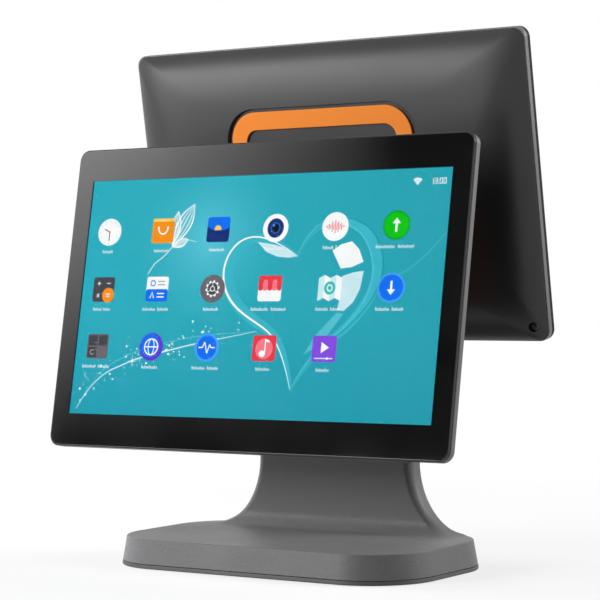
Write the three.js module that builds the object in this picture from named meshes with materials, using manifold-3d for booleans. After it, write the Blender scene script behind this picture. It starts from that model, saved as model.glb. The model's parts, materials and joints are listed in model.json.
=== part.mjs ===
/**
 * Dual-screen point-of-sale touch terminal: a weighted stand with a wide neck, a main display that faces
 * the cashier and a customer display on the other side, each on its own friction tilt hinge.
 *
 * Millimetres, +Z up. The cashier looks along +Y at the main display, whose glass faces -Y. The origin is the
 * centre of the stand's base, on the surface that it stands on.
 */
import * as THREE from "three";
import { mergeVertices } from "three/addons/utils/BufferGeometryUtils.js";
import Module from "manifold-3d";

const wasm = await Module();
wasm.setup();

// ---------------------------------------------------------------------------------------------------------
// Driving dimensions
// ---------------------------------------------------------------------------------------------------------

/** Gap kept between pieces that rest on, fit in or face one another. */
const SEAT = 0.3;
/** How far a cutter runs past the faces that it cuts. */
const OVERRUN = 1;
/** Straight steps in each quarter turn of a large and a small corner, and sides of a round piece. */
const CORNER_STEPS = 5;
const SMALL_CORNER_STEPS = 3;
const ROUND_SIDES = 16;

/** The base: how far its middle lies ahead of the displays' middle, and its outline at its top. */
const BASE = {
  ahead: 2,
  halfWidth: 139.6,
  halfDepth: 77,
  corner: 50,
  height: 23.5,
  plateTop: 4,
  draft: 0.174,
  edge: 0.6,
  wall: 3,
};

const PLATE = { underside: 0.4, roundover: 0.9, screwHeadDepth: 1.7 };
const FOOT = { radius: 9, recess: 1.9, fromSide: 27.6, fromFront: 25 };
const BALLAST = { fromSide: 39.6, fromFront: 21, fromBoard: 11.4, corner: 8, thickness: 7 };
/** Screws through the plate: two at its ends and two near its front edge, so far from each edge. */
const PLATE_SCREW = { fromSide: 13.6, fromFront: 11, frontX: 40 };
const SCREW = { head: 3.4, headHeight: 1.2, shank: 1.5, length: 12, clearance: 0.3, boss: 4.5 };

const NECK = {
  halfWidth: 75.3,
  thickness: 17,
  frontCorner: 7,
  backCorner: 2.5,
  innerFrontCorner: 4.5,
  innerCorner: 1.2,
  sideFlare: { width: 46, height: 58 },
  frontFlare: 12,
  backFlare: 6,
  setback: 8.4,
  straightAboveFlare: 6.5,
  straightBelowClevis: 8.6,
  bendPull: 38,
  wall: 2.4,
  sideWall: 3.2,
};
/** The mast: how far its middle lies behind the base's middle, and its top. */
const MAST = { behind: 3.728, halfWidth: 52, headroom: 4, capThickness: 3 };
const SPINE = { thickness: 3, halfWidth: 40, corner: 1, aboveBase: 6.5 };
const REAR_COVER = { thickness: 2, recess: 0.2, corner: 0.5, aboveBase: 7 };

/** The display module, and the border that the glass has round it at the sides and at the top and bottom. */
const LCD = { width: 351, height: 205, thickness: 3.2, clearance: 0.7 };
const DISPLAY = { sideBorder: 13.5, endBorder: 21.3, corner: 9 };
/** Each display: the height of its glass's middle, its tilt, and the side of the mast that it is on. */
const MAIN = { centreHeight: 218.2, tilt: 10.8, side: -1 };
const CUSTOMER = { centreHeight: 303.2, tilt: 9.04, side: 1 };

/** Depths in a display, measured back from the front of its glass. */
const DEPTH = { glass: 1.8, rim: 3.5, skirt: 6.5, band: 9.3, crown: 22.5, hinge: 46 };
const GLASS_EDGE = 0.5;
const BAND_WALL = 3.6;
const SKIRT_INSET = 6;
const CHASSIS = { thickness: 1.2, bossRadius: 2.5, bossHeight: 2.7 };
const SHELL_WALL = 2.2;
/** Rear cover's crown: each step's inset from the display's edge and its share of the crown's rise. */
const CROWN = [[0.8, 0], [3.5, 0.22], [9, 0.48], [17, 0.72], [29, 0.91], [50, 1]];
const CROWN_CORNER_GROWTH = 0.6;
/** The coloured ring: how far it lies inside the display's outline, its band, and the groove round it. */
const RING = {
  fromSide: 101,
  fromEnd: 53.3,
  corner: 24.5,
  band: 15,
  innerCorner: 10.5,
  groove: 3,
  sunk: 0.5,
};
const PANEL = { thickness: 2.3, lap: 4, cornerLap: 3 };
const CORNER_SCREW = { fromSide: 11, fromBottom: 12.3, recessRadius: 4, boss: 6, seatDepth: 11.5 };

const HINGE = {
  shaft: 4,
  clearance: 0.3,
  knuckle: 8.5,
  knuckleGap: 1.043,
  earInner: 27,
  earThickness: 4,
  washer: 0.9,
  washerRadius: 8,
  blockHalfHeight: 15,
  blockProud: 0.9,
  earStep: 2,
  headRadius: 6.5,
  headLength: 3,
  nutRadius: 7.5,
  nutLength: 5,
  tip: 1,
};
const NUT_SIDES = 6;
const BRACKET = { halfWidth: 42, halfHeight: 35, thickness: 2, corner: 4, rootHalf: 12 };
/** The panel's window: its room round the bracket's arms at the sides and at the top and bottom. */
const WINDOW = { sideGap: 1.5, endGap: 2, corner: 3 };

const MAIN_BOARD = { fromSide: 29, z: 8, halfWidth: 52, halfHeight: 70, thickness: 1.6 };
const DRIVER_BOARD = { fromSide: 51, z: -20, halfWidth: 38, halfHeight: 30, thickness: 1.6 };
const SPREADER = { halfWidth: 30, halfHeight: 40, thickness: 2.6 };
const SPEAKER = { fromSide: 39, fromBottom: 20.8, halfWidth: 22, halfHeight: 9, depth: 7 };
const BUTTON = {
  fromSide: 39,
  halfLength: 4.6,
  halfWidth: 1.7,
  corner: 1.6,
  proud: 0.8,
  flange: 0.8,
  flangeLap: 0.8,
};

/** Sockets on the connector board: width, height and depth of each body, and where its centre is along X. */
const PORTS = {
  power: { x: -50, width: 9.5, height: 10.5, depth: 14, bore: 3.15, pin: 1 },
  lan: { x: -28, width: 16, height: 11.5, depth: 21, socketWidth: 11.7, socketHeight: 8.2, socketDepth: 13 },
  usb: { x: [-6, 12], width: 14, height: 6.6, depth: 17, wall: 0.8, tongue: 1.8 },
  drawer: { x: 33, width: 13.2, height: 11.5, depth: 18, socketWidth: 9.7, socketHeight: 8, socketDepth: 12 },
  audio: { x: 52, width: 8, height: 6, depth: 12, bore: 1.8, pin: 0 },
};
const ROUND_PORT = { floor: 2, pinSetback: 1 };
const IO_BOARD = { halfWidth: 64, depth: 26, thickness: 1.6, boss: 3, bossHeight: 1.2, bossInset: 4 };

// ---------------------------------------------------------------------------------------------------------
// Finishes
// ---------------------------------------------------------------------------------------------------------

const finish = (color, roughness, metalness) => ({ color, roughness, metalness });
const FINISHES = {
  casting: finish(0x77787a, 0.55, 0.5),
  plate: finish(0x3c3d3f, 0.6, 0.3),
  housing: finish(0x3a3b3d, 0.5, 0),
  panel: finish(0x1d1e20, 0.6, 0),
  band: finish(0x8d8e90, 0.35, 0.8),
  bezel: finish(0x121213, 0.3, 0),
  glass: finish(0x08090a, 0.08, 0),
  lcd: finish(0x26a8be, 0.3, 0),
  orange: finish(0xf5842c, 0.45, 0),
  steel: finish(0xa4a7aa, 0.35, 1),
  rubber: finish(0x161616, 0.9, 0),
  circuit: finish(0x1f5a35, 0.6, 0),
  port: finish(0xb0b2b4, 0.4, 0.9),
  black: finish(0x1a1a1b, 0.5, 0),
};

// ---------------------------------------------------------------------------------------------------------
// Geometry helpers
// ---------------------------------------------------------------------------------------------------------

/** A named mesh with a material of its own. */
function piece(name, geometry, finishName) {
  const mesh = new THREE.Mesh(geometry, new THREE.MeshStandardMaterial(FINISHES[finishName]));
  mesh.name = name;
  return mesh;
}

/** A closed geometry as a manifold solid. */
function solidOf(geometry) {
  const bare = geometry.clone();
  bare.deleteAttribute("normal");
  bare.deleteAttribute("uv");
  const merged = mergeVertices(bare);
  return new wasm.Manifold(new wasm.Mesh({
    numProp: 3,
    vertProperties: new Float32Array(merged.attributes.position.array),
    triVerts: new Uint32Array(merged.index.array),
  }));
}

/** A manifold solid as a geometry. */
function geometryOf(solid) {
  const { vertProperties, triVerts } = solid.getMesh();
  const geometry = new THREE.BufferGeometry();
  geometry.setAttribute("position", new THREE.BufferAttribute(vertProperties, 3));
  geometry.setIndex(new THREE.BufferAttribute(triVerts, 1));
  return geometry;
}

const join = (first, ...rest) => geometryOf(rest.reduce((sum, g) => sum.add(solidOf(g)), solidOf(first)));
const cut = (first, ...rest) => geometryOf(rest.reduce((sum, g) => sum.subtract(solidOf(g)), solidOf(first)));
const common = (first, second) => geometryOf(solidOf(first).intersect(solidOf(second)));

/** Points of a rounded rectangle, anticlockwise, as [a, b] pairs; its low corners may have their own radius. */
function outline(halfA, halfB, radius, steps = CORNER_STEPS, lowRadius = radius) {
  const corners = [[1, 1, radius], [-1, 1, radius], [-1, -1, lowRadius], [1, -1, lowRadius]];
  return corners.flatMap(([signA, signB, turn], quarter) =>
    Array.from({ length: steps + 1 }, (_, step) => {
      const angle = ((quarter + step / steps) * Math.PI) / 2;
      return [
        signA * (halfA - turn) + turn * Math.cos(angle),
        signB * (halfB - turn) + turn * Math.sin(angle),
      ];
    }));
}

const levelRing = (points, z) => points.map(([a, b]) => new THREE.Vector3(a, b, z));
const facingRing = (points, y) => points.map(([a, b]) => new THREE.Vector3(a, y, b));

/** Triangles that close a flat ring of vertices, wound the way that the ring runs. */
function capIndex(ring, offset) {
  const normal = new THREE.Vector3();
  ring.forEach((p, i) => {
    normal.add(new THREE.Vector3().crossVectors(p, ring[(i + 1) % ring.length]));
  });
  const size = normal.toArray().map(Math.abs);
  const dropped = size.indexOf(Math.max(...size));
  const [u, v] = [0, 1, 2].filter((axis) => axis !== dropped);
  const flat = ring.map((p) => new THREE.Vector2(p.getComponent(u), p.getComponent(v)));
  const along = Math.sign(THREE.ShapeUtils.area(flat));
  return THREE.ShapeUtils.triangulateShape(flat, []).flatMap(([a, b, c]) => {
    const turn = Math.sign(THREE.ShapeUtils.area([flat[a], flat[b], flat[c]]));
    return (turn === along ? [a, b, c] : [a, c, b]).map((i) => i + offset);
  });
}

/** Six times the volume that an indexed surface encloses, negative when its faces point in. */
function signedVolume(positions, index) {
  const corner = (i) => new THREE.Vector3().fromArray(positions, 3 * index[i]);
  let total = 0;
  for (let i = 0; i < index.length; i += 3) {
    total += corner(i).dot(corner(i + 1).cross(corner(i + 2)));
  }
  return total;
}

/** A closed body through rings of equally many points: its ends are capped, or it runs round on itself. */
function loft(rings, loops = false) {
  const count = rings[0].length;
  const positions = rings.flat().flatMap((p) => p.toArray());
  const index = [];
  for (let r = 0; r < rings.length - (loops ? 0 : 1); r++) {
    const here = r * count;
    const next = ((r + 1) % rings.length) * count;
    for (let i = 0; i < count; i++) {
      const j = (i + 1) % count;
      index.push(here + i, here + j, next + j, here + i, next + j, next + i);
    }
  }
  if (!loops) {
    index.push(...capIndex(rings[0], 0).reverse(), ...capIndex(rings.at(-1), (rings.length - 1) * count));
  }
  const geometry = new THREE.BufferGeometry();
  geometry.setAttribute("position", new THREE.Float32BufferAttribute(positions, 3));
  geometry.setIndex(signedVolume(positions, index) < 0 ? index.reverse() : index);
  return geometry;
}

/** An upright cylinder between two heights. */
function post(radius, x, y, bottom, top) {
  const height = top - bottom;
  return new THREE.CylinderGeometry(radius, radius, height, ROUND_SIDES)
    .rotateX(Math.PI / 2)
    .translate(x, y, bottom + height / 2);
}

/** A cylinder along the depth of a display, between two depths. */
function stud(radius, x, z, front, back) {
  const length = back - front;
  return new THREE.CylinderGeometry(radius, radius, length, ROUND_SIDES).translate(x, front + length / 2, z);
}

/** A box between two corners. */
function block([x0, y0, z0], [x1, y1, z1]) {
  return new THREE.BoxGeometry(x1 - x0, y1 - y0, z1 - z0)
    .translate((x0 + x1) / 2, (y0 + y1) / 2, (z0 + z1) / 2);
}

/** A rounded plate that stands across a display's depth, centred at x and z. */
function panel(halfWidth, halfHeight, corner, front, back, x = 0, z = 0) {
  const points = outline(halfWidth, halfHeight, corner);
  return loft([facingRing(points, front), facingRing(points, back)]).translate(x, 0, z);
}

/** A screw with its head at the bottom and its shank pointing up +Z, head underside at height 0. */
function screw(head, headHeight, shank, length) {
  const profile = [[0, 0], [head, 0], [head, headHeight], [shank, headHeight], [shank, headHeight + length],
    [0, headHeight + length]];
  return new THREE.LatheGeometry(profile.map(([x, y]) => new THREE.Vector2(x, y)), ROUND_SIDES)
    .rotateX(Math.PI / 2);
}

// ---------------------------------------------------------------------------------------------------------
// Stand: places worked out from the dimensions
// ---------------------------------------------------------------------------------------------------------

const radians = THREE.MathUtils.degToRad;

const NECK_HALF = NECK.thickness / 2;
/** How far each hinge axis stands out from the mast's middle. */
const HINGE_REACH = NECK_HALF + HINGE.blockProud + HINGE.knuckleGap + HINGE.knuckle;

/** A display's hinge axis in the stand's frame, from the base's middle. */
function hingePlace({ centreHeight, tilt, side }) {
  return {
    y: MAST.behind + side * HINGE_REACH,
    z: centreHeight - DEPTH.hinge * Math.sin(radians(tilt)),
  };
}
const MAIN_HINGE = hingePlace(MAIN);
const CUSTOMER_HINGE = hingePlace(CUSTOMER);

const MAST_Y = MAST.behind;
const UNDER_CAP = CUSTOMER_HINGE.z + HINGE.blockHalfHeight + MAST.headroom - SEAT;
const MAST_TOP = UNDER_CAP + SEAT + MAST.capThickness;
const NECK_Y = BASE.halfDepth - NECK.setback - NECK_HALF;
const BEND_START = BASE.height + NECK.sideFlare.height + NECK.straightAboveFlare;
const BEND_END = MAIN_HINGE.z - HINGE.blockHalfHeight - NECK.straightBelowClevis;

/** Rounded outline of the base at a height, with the draft of its sides, inset by a margin. */
function baseOutline(z, inset = 0) {
  const grow = (BASE.height - z) * BASE.draft - inset;
  return outline(BASE.halfWidth + grow, BASE.halfDepth + grow, BASE.corner + grow);
}

/** How far a quarter-oval hollow, so wide and so high, stands out at a rise above its foot. */
function hollow(width, height, rise) {
  return rise < height ? width * (1 - Math.sqrt(1 - (1 - rise / height) ** 2)) : 0;
}

const FLARE_STEPS = 9;
const BEND_STEPS = 8;

/** Stations up the neck: centre, lean from upright, half width, and offsets of its front and back. */
function neckStations() {
  const { sideFlare, frontFlare, backFlare } = NECK;
  const foot = Array.from({ length: FLARE_STEPS + 1 }, (_, i) => {
    const rise = sideFlare.height * (1 - Math.cos(((i / FLARE_STEPS) * Math.PI) / 2));
    return {
      y: NECK_Y,
      z: BASE.height + rise,
      lean: 0,
      halfWidth: NECK.halfWidth + hollow(sideFlare.width, sideFlare.height, rise),
      front: -NECK_HALF - hollow(frontFlare, frontFlare, rise),
      back: NECK_HALF + hollow(backFlare, backFlare, rise),
    };
  });
  const bend = new THREE.CubicBezierCurve(
    new THREE.Vector2(NECK_Y, BEND_START),
    new THREE.Vector2(NECK_Y, BEND_START + NECK.bendPull),
    new THREE.Vector2(MAST_Y, BEND_END - NECK.bendPull),
    new THREE.Vector2(MAST_Y, BEND_END),
  );
  const rising = Array.from({ length: BEND_STEPS + 1 }, (_, i) => {
    const t = i / BEND_STEPS;
    const point = bend.getPoint(t);
    const along = bend.getTangent(t);
    return {
      y: point.x,
      z: point.y,
      lean: Math.atan2(along.x, along.y),
      halfWidth: THREE.MathUtils.lerp(NECK.halfWidth, MAST.halfWidth, THREE.MathUtils.smoothstep(t, 0, 1)),
      front: -NECK_HALF,
      back: NECK_HALF,
    };
  });
  const top = { ...rising.at(-1), z: MAST_TOP };
  return [...foot, ...rising, top];
}
const STATIONS = neckStations();

/** The part of the neck between two heights, as stations whose ends lie at those heights. */
function stationsBetween(bottom, top) {
  const inside = STATIONS.filter(({ z }) => z > bottom && z < top);
  return [{ ...inside[0], z: bottom }, ...inside, { ...inside.at(-1), z: top }];
}

/** A ring across the neck at a station, between two offsets from its centre line. */
function neckRing({ y, z, lean }, halfWidth, front, back, corner, frontCorner = corner) {
  const middle = (front + back) / 2;
  return outline(halfWidth, (back - front) / 2, corner, SMALL_CORNER_STEPS, frontCorner).map(([a, b]) => {
    const offset = middle + b;
    return new THREE.Vector3(a, y + offset * Math.cos(lean), z - offset * Math.sin(lean));
  });
}

/** Half width of the space inside the neck: it follows the neck, but not the flare of its foot. */
const innerHalfWidth = (station) => Math.min(station.halfWidth, NECK.halfWidth) - NECK.sideWall;

// ---------------------------------------------------------------------------------------------------------
// Stand: pieces
// ---------------------------------------------------------------------------------------------------------

const PORT_FACE_Y = BASE.halfDepth;
const BOARD_Z = BASE.plateTop + IO_BOARD.bossHeight + SEAT;
const PORT_Z = BOARD_Z + IO_BOARD.thickness + SEAT;

/** The box that a socket fills on the connector board, grown by a margin. */
function portBox({ width, height, depth }, x, margin = 0) {
  return block(
    [x - width / 2 - margin, PORT_FACE_Y - depth - margin, PORT_Z - margin],
    [x + width / 2 + margin, PORT_FACE_Y + margin, PORT_Z + height + margin],
  );
}

/** The same box run out through the back wall. */
function portWindow(port, x) {
  const box = portBox(port, x, SEAT);
  const reach = BASE.height * BASE.draft + OVERRUN;
  return join(box, box.clone().translate(0, reach, 0));
}

const BOARD_FRONT = PORT_FACE_Y - BASE.wall - 2 * SEAT - IO_BOARD.depth;
const PLATE_SCREW_PLACES = [-1, 1].flatMap((side) => [
  [side * (BASE.halfWidth - PLATE_SCREW.fromSide), 0],
  [side * PLATE_SCREW.frontX, PLATE_SCREW.fromFront - BASE.halfDepth],
]);
const PORT_PLACES = Object.values(PORTS).flatMap((port) => [port.x].flat().map((x) => [port, x]));

/** Cast shell: a hollow base open below, and a neck channel open behind, as one casting. */
function standShell() {
  const base = loft([
    levelRing(baseOutline(BASE.plateTop), BASE.plateTop),
    levelRing(baseOutline(BASE.height - BASE.edge), BASE.height - BASE.edge),
    levelRing(baseOutline(BASE.height, BASE.edge), BASE.height),
  ]);
  const root = { ...STATIONS[0], z: BASE.height - BASE.wall / 2 };
  const neck = loft([root, ...STATIONS].map((s) =>
    neckRing(s, s.halfWidth, s.front, s.back, NECK.backCorner, NECK.frontCorner)));
  const overBase = loft([
    levelRing(baseOutline(BASE.height, BASE.edge), 0),
    levelRing(baseOutline(BASE.height, BASE.edge), MAST_TOP + OVERRUN),
  ]);
  const baseSpace = loft([
    levelRing(baseOutline(BASE.plateTop - OVERRUN, BASE.wall), BASE.plateTop - OVERRUN),
    levelRing(baseOutline(BASE.height - BASE.wall, BASE.wall), BASE.height - BASE.wall),
  ]);
  const spaceFoot = { ...STATIONS[0], z: BASE.height - BASE.wall - OVERRUN };
  const spaceTop = { ...STATIONS.at(-1), z: MAST_TOP + OVERRUN };
  const neckSpace = loft([spaceFoot, ...STATIONS.slice(0, -1), spaceTop].map((s) =>
    neckRing(s, innerHalfWidth(s), NECK.wall - NECK_HALF, NECK_HALF + OVERRUN, NECK.innerCorner,
      NECK.innerFrontCorner)));
  const keepBackWall = block(
    [-BASE.halfWidth, -BASE.halfDepth, 0],
    [BASE.halfWidth, BASE.halfDepth, BASE.height + REAR_COVER.aboveBase - SEAT],
  );
  const channel = cut(neckSpace, keepBackWall);
  const wiringHole = block(
    [-SPINE.halfWidth, NECK_Y - NECK_HALF + NECK.wall, BASE.height - BASE.wall - OVERRUN],
    [SPINE.halfWidth, NECK_Y + NECK_HALF - NECK.sideWall, BASE.height + REAR_COVER.aboveBase],
  );
  const bosses = PLATE_SCREW_PLACES.map(([x, y]) =>
    post(SCREW.boss, x, y, BASE.plateTop, BASE.height - BASE.wall / 2));
  const holeTop = PLATE.underside + PLATE.screwHeadDepth + SCREW.length + OVERRUN;
  const holes = PLATE_SCREW_PLACES.map(([x, y]) =>
    post(SCREW.shank + SCREW.clearance, x, y, BASE.plateTop - OVERRUN, holeTop));
  const hollowBase = join(cut(join(base, common(neck, overBase)), baseSpace), ...bosses);
  const clevisWindow = block(
    [-HINGE.earInner - HINGE.earThickness - SEAT, MAST_Y - NECK_HALF - OVERRUN, MAIN_HINGE.z
      - HINGE.blockHalfHeight - SEAT],
    [HINGE.earInner + HINGE.earThickness + SEAT, MAST_Y, MAIN_HINGE.z + HINGE.blockHalfHeight + SEAT],
  );
  return cut(hollowBase, channel, wiringHole, clevisWindow, ...holes,
    ...PORT_PLACES.map(([port, x]) => portWindow(port, x)));
}

/** Bottom plate with a rounded lower edge, foot recesses, screw holes and bosses for the connector board. */
function basePlate() {
  const top = BASE.plateTop - SEAT;
  const body = loft([
    levelRing(baseOutline(0, PLATE.roundover), PLATE.underside),
    levelRing(baseOutline(0), PLATE.underside + PLATE.roundover),
    levelRing(baseOutline(0), top),
  ]);
  const bosses = boardBosses().map(([x, y]) => post(IO_BOARD.boss, x, y, top - OVERRUN, BOARD_Z - SEAT));
  const recesses = footPlaces().map(([x, y]) =>
    post(FOOT.radius + SEAT, x, y, -OVERRUN, PLATE.underside + FOOT.recess));
  const screws = PLATE_SCREW_PLACES.flatMap(([x, y]) => [
    post(SCREW.head + SCREW.clearance, x, y, -OVERRUN, PLATE.underside + PLATE.screwHeadDepth),
    post(SCREW.shank + SCREW.clearance, x, y, -OVERRUN, BASE.plateTop + OVERRUN),
  ]);
  return cut(join(body, ...bosses), ...recesses, ...screws);
}

/** Places of the feet, one near each corner of the base. */
const footPlaces = () => [-1, 1].flatMap((sx) => [-1, 1].map((sy) =>
  [sx * (BASE.halfWidth - FOOT.fromSide), sy * (BASE.halfDepth - FOOT.fromFront)]));

/** Places of the bosses under the connector board's corners. */
const boardBosses = () => [-1, 1].flatMap((side) => [IO_BOARD.bossInset, IO_BOARD.depth - IO_BOARD.bossInset]
  .map((inset) => [side * (IO_BOARD.halfWidth - IO_BOARD.bossInset), BOARD_FRONT + inset]));

/** Socket body with a rectangular mouth in its back face. */
function jack(port, x) {
  const { height, socketWidth, socketHeight, socketDepth } = port;
  const sill = PORT_Z + (height - socketHeight) / 2;
  const mouth = block(
    [x - socketWidth / 2, PORT_FACE_Y - socketDepth, sill],
    [x + socketWidth / 2, PORT_FACE_Y + OVERRUN, sill + socketHeight],
  );
  return cut(portBox(port, x), mouth);
}

/** Socket body with a flat mouth round a contact tongue. */
function usbPort(x) {
  const { width, height, depth, wall, tongue } = PORTS.usb;
  const mouth = block(
    [x - width / 2 + wall, PORT_FACE_Y - depth + 2 * wall, PORT_Z + wall],
    [x + width / 2 - wall, PORT_FACE_Y + OVERRUN, PORT_Z + height - wall],
  );
  const contacts = block(
    [x - width / 2 + 2 * wall, PORT_FACE_Y - depth + wall, PORT_Z + height / 2],
    [x + width / 2 - 2 * wall, PORT_FACE_Y - wall, PORT_Z + height / 2 + tongue],
  );
  return join(cut(portBox(PORTS.usb, x), mouth), contacts);
}

/** Socket body with a round mouth, and a centre pin where it has one. */
function roundPort(port) {
  const z = PORT_Z + port.height / 2;
  const floor = PORT_FACE_Y - port.depth + ROUND_PORT.floor;
  const body = cut(portBox(port, port.x), stud(port.bore, port.x, z, floor, PORT_FACE_Y + OVERRUN));
  const pinTip = PORT_FACE_Y - ROUND_PORT.pinSetback;
  return port.pin ? join(body, stud(port.pin, port.x, z, floor - OVERRUN, pinTip)) : body;
}

/** Steel plate up the inside of the neck, against the front wall. */
function spine() {
  const front = NECK.wall - NECK_HALF + SEAT;
  return loft(stationsBetween(BASE.height + SPINE.aboveBase, UNDER_CAP).map((s) =>
    neckRing(s, SPINE.halfWidth, front, front + SPINE.thickness, SPINE.corner)));
}

/** Cover set into the open back of the neck, with a window for the customer display's clevis. */
function neckRearCover() {
  const back = NECK_HALF - REAR_COVER.recess;
  const cover = loft(stationsBetween(BASE.height + REAR_COVER.aboveBase, UNDER_CAP).map((s) =>
    neckRing(s, innerHalfWidth(s) - SEAT, back - REAR_COVER.thickness, back, REAR_COVER.corner)));
  const reach = HINGE.earInner + HINGE.earThickness + SEAT;
  const clevisWindow = block(
    [-reach, MAST_Y, CUSTOMER_HINGE.z - HINGE.blockHalfHeight - SEAT],
    [reach, MAST_Y + NECK.thickness, MAST_TOP],
  );
  return cut(cover, clevisWindow);
}

/** Plug that closes the top of the neck. */
function mastCap() {
  const station = STATIONS.at(-1);
  const front = NECK.wall - NECK_HALF + SEAT;
  const back = NECK_HALF - REAR_COVER.recess;
  const ring = (z) => neckRing({ ...station, z }, innerHalfWidth(station) - SEAT, front, back,
    NECK.innerCorner, NECK.innerFrontCorner - SEAT);
  return loft([ring(MAST_TOP - MAST.capThickness), ring(MAST_TOP)]);
}

/** A hinge ear: a flat plate from a root to the axis, rounded about it, between two places along X. */
function ear({ root, rootHalf, reach, x }) {
  const shape = new THREE.Shape();
  shape.moveTo(root, -rootHalf);
  shape.lineTo(reach, -HINGE.knuckle);
  shape.absarc(reach, 0, HINGE.knuckle, -Math.PI / 2, Math.PI / 2);
  shape.lineTo(root, rootHalf);
  shape.closePath();
  shape.holes.push(new THREE.Path().absarc(reach, 0, HINGE.shaft + HINGE.clearance, 0, 2 * Math.PI, true));
  const plate = new THREE.ExtrudeGeometry(shape, {
    depth: HINGE.earThickness,
    bevelEnabled: false,
    curveSegments: ROUND_SIDES / 2,
  });
  const upright = new THREE.Matrix4().makeBasis(
    new THREE.Vector3(0, 1, 0), new THREE.Vector3(0, 0, 1), new THREE.Vector3(1, 0, 0));
  return plate.applyMatrix4(upright).translate(x, 0, 0);
}

/** Fork on the mast: a block on the spine and two ears, reaching out along +Y from the mast's middle. */
function clevis(innerFace) {
  const outer = HINGE.earInner + HINGE.earThickness;
  const root = block(
    [-outer, innerFace, -HINGE.blockHalfHeight],
    [outer, NECK_HALF + HINGE.blockProud, HINGE.blockHalfHeight],
  );
  const ears = [HINGE.earInner, -outer].map((x) => ear({
    root: NECK_HALF,
    rootHalf: HINGE.blockHalfHeight - HINGE.earStep,
    reach: HINGE_REACH,
    x,
  }));
  return join(root, ...ears);
}

/** The whole stand, with its two clevises at the displays' hinge axes. */
function stand() {
  const group = new THREE.Group();
  const plateTop = BASE.plateTop;
  const ballastFront = BALLAST.fromFront - BASE.halfDepth;
  const ballastBack = BOARD_FRONT - BALLAST.fromBoard;
  const ballast = outline(BASE.halfWidth - BALLAST.fromSide, (ballastBack - ballastFront) / 2, BALLAST.corner)
    .map(([a, b]) => [a, b + (ballastFront + ballastBack) / 2]);
  group.add(
    piece("stand_shell", standShell(), "casting"),
    piece("base_plate", basePlate(), "plate"),
    piece("ballast_plate", loft([
      levelRing(ballast, plateTop),
      levelRing(ballast, plateTop + BALLAST.thickness),
    ]), "steel"),
    piece("io_board", block(
      [-IO_BOARD.halfWidth, BOARD_FRONT, BOARD_Z],
      [IO_BOARD.halfWidth, BOARD_FRONT + IO_BOARD.depth, BOARD_Z + IO_BOARD.thickness],
    ), "circuit"),
    piece("power_inlet", roundPort(PORTS.power), "black"),
    piece("lan_port", jack(PORTS.lan, PORTS.lan.x), "port"),
    piece("drawer_port", jack(PORTS.drawer, PORTS.drawer.x), "black"),
    piece("audio_jack", roundPort(PORTS.audio), "black"),
    piece("neck_spine", spine(), "steel"),
    piece("neck_rear_cover", neckRearCover(), "housing"),
    piece("mast_cap", mastCap(), "housing"),
  );
  PORTS.usb.x.forEach((x, i) => group.add(piece(`usb_port_${i + 1}`, usbPort(x), "port")));
  footPlaces().forEach(([x, y], i) => group.add(
    piece(`foot_${i + 1}`, post(FOOT.radius, x, y, 0, PLATE.underside + FOOT.recess - SEAT), "rubber")));
  PLATE_SCREW_PLACES.forEach(([x, y], i) => {
    const plateScrew = screw(SCREW.head, SCREW.headHeight, SCREW.shank, SCREW.length);
    const mesh = piece(`plate_screw_${i + 1}`, plateScrew, "steel");
    mesh.position.set(x, y, PLATE.underside + PLATE.screwHeadDepth - SEAT - SCREW.headHeight);
    group.add(mesh);
  });
  const spineFront = NECK_HALF - NECK.wall - SEAT;
  const mainClevis = piece("main_clevis", clevis(spineFront + SEAT), "steel");
  mainClevis.rotation.z = Math.PI;
  mainClevis.position.set(0, MAST_Y, MAIN_HINGE.z);
  const customerClevis = piece("customer_clevis", clevis(SPINE.thickness + SEAT - spineFront), "steel");
  customerClevis.position.set(0, MAST_Y, CUSTOMER_HINGE.z);
  group.add(mainClevis, customerClevis);
  group.position.y = -BASE.ahead;
  return group;
}

// ---------------------------------------------------------------------------------------------------------
// Display: X across, Y back from the front of the glass, Z up from the middle of the glass
// ---------------------------------------------------------------------------------------------------------

const HALF_W = LCD.width / 2 + DISPLAY.sideBorder;
const HALF_H = LCD.height / 2 + DISPLAY.endBorder;
const displayOutline = (inset) =>
  outline(HALF_W - inset, HALF_H - inset, Math.max(DISPLAY.corner - inset, SEAT));
const displayRing = (inset, depth) => facingRing(displayOutline(inset), depth);

const CHASSIS_FRONT = DEPTH.skirt + SEAT;
const CHASSIS_BACK = CHASSIS_FRONT + CHASSIS.thickness;
const SHELL_FRONT = DEPTH.band + SEAT;
const PANEL_BACK = DEPTH.crown - SHELL_WALL - SEAT;
const RING_HALF_W = HALF_W - RING.fromSide;
const RING_HALF_H = HALF_H - RING.fromEnd;
const BUTTON_X = HALF_W - BUTTON.fromSide;
/** Outer faces of the tilt bracket's arms, which stand inside the washers and the clevis ears. */
const ARM_OUTER = HINGE.earInner - 2 * SEAT - HINGE.washer;

/** Front glass over the whole display, its front edge bevelled. */
function coverGlass() {
  return loft([
    displayRing(GLASS_EDGE, 0),
    displayRing(0, GLASS_EDGE),
    displayRing(0, DEPTH.glass),
  ]);
}

/** Black frame: a rim behind the glass and a skirt inside the side frame, round the LCD. */
function bezelFrame() {
  const front = DEPTH.glass + SEAT;
  const opening = outline(LCD.width / 2 + LCD.clearance, LCD.height / 2 + LCD.clearance, LCD.clearance);
  return loft([
    displayRing(0, front),
    displayRing(0, DEPTH.rim),
    displayRing(SKIRT_INSET, DEPTH.rim),
    displayRing(SKIRT_INSET, DEPTH.skirt),
    facingRing(opening, DEPTH.skirt),
    facingRing(opening, front),
  ], true);
}

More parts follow.
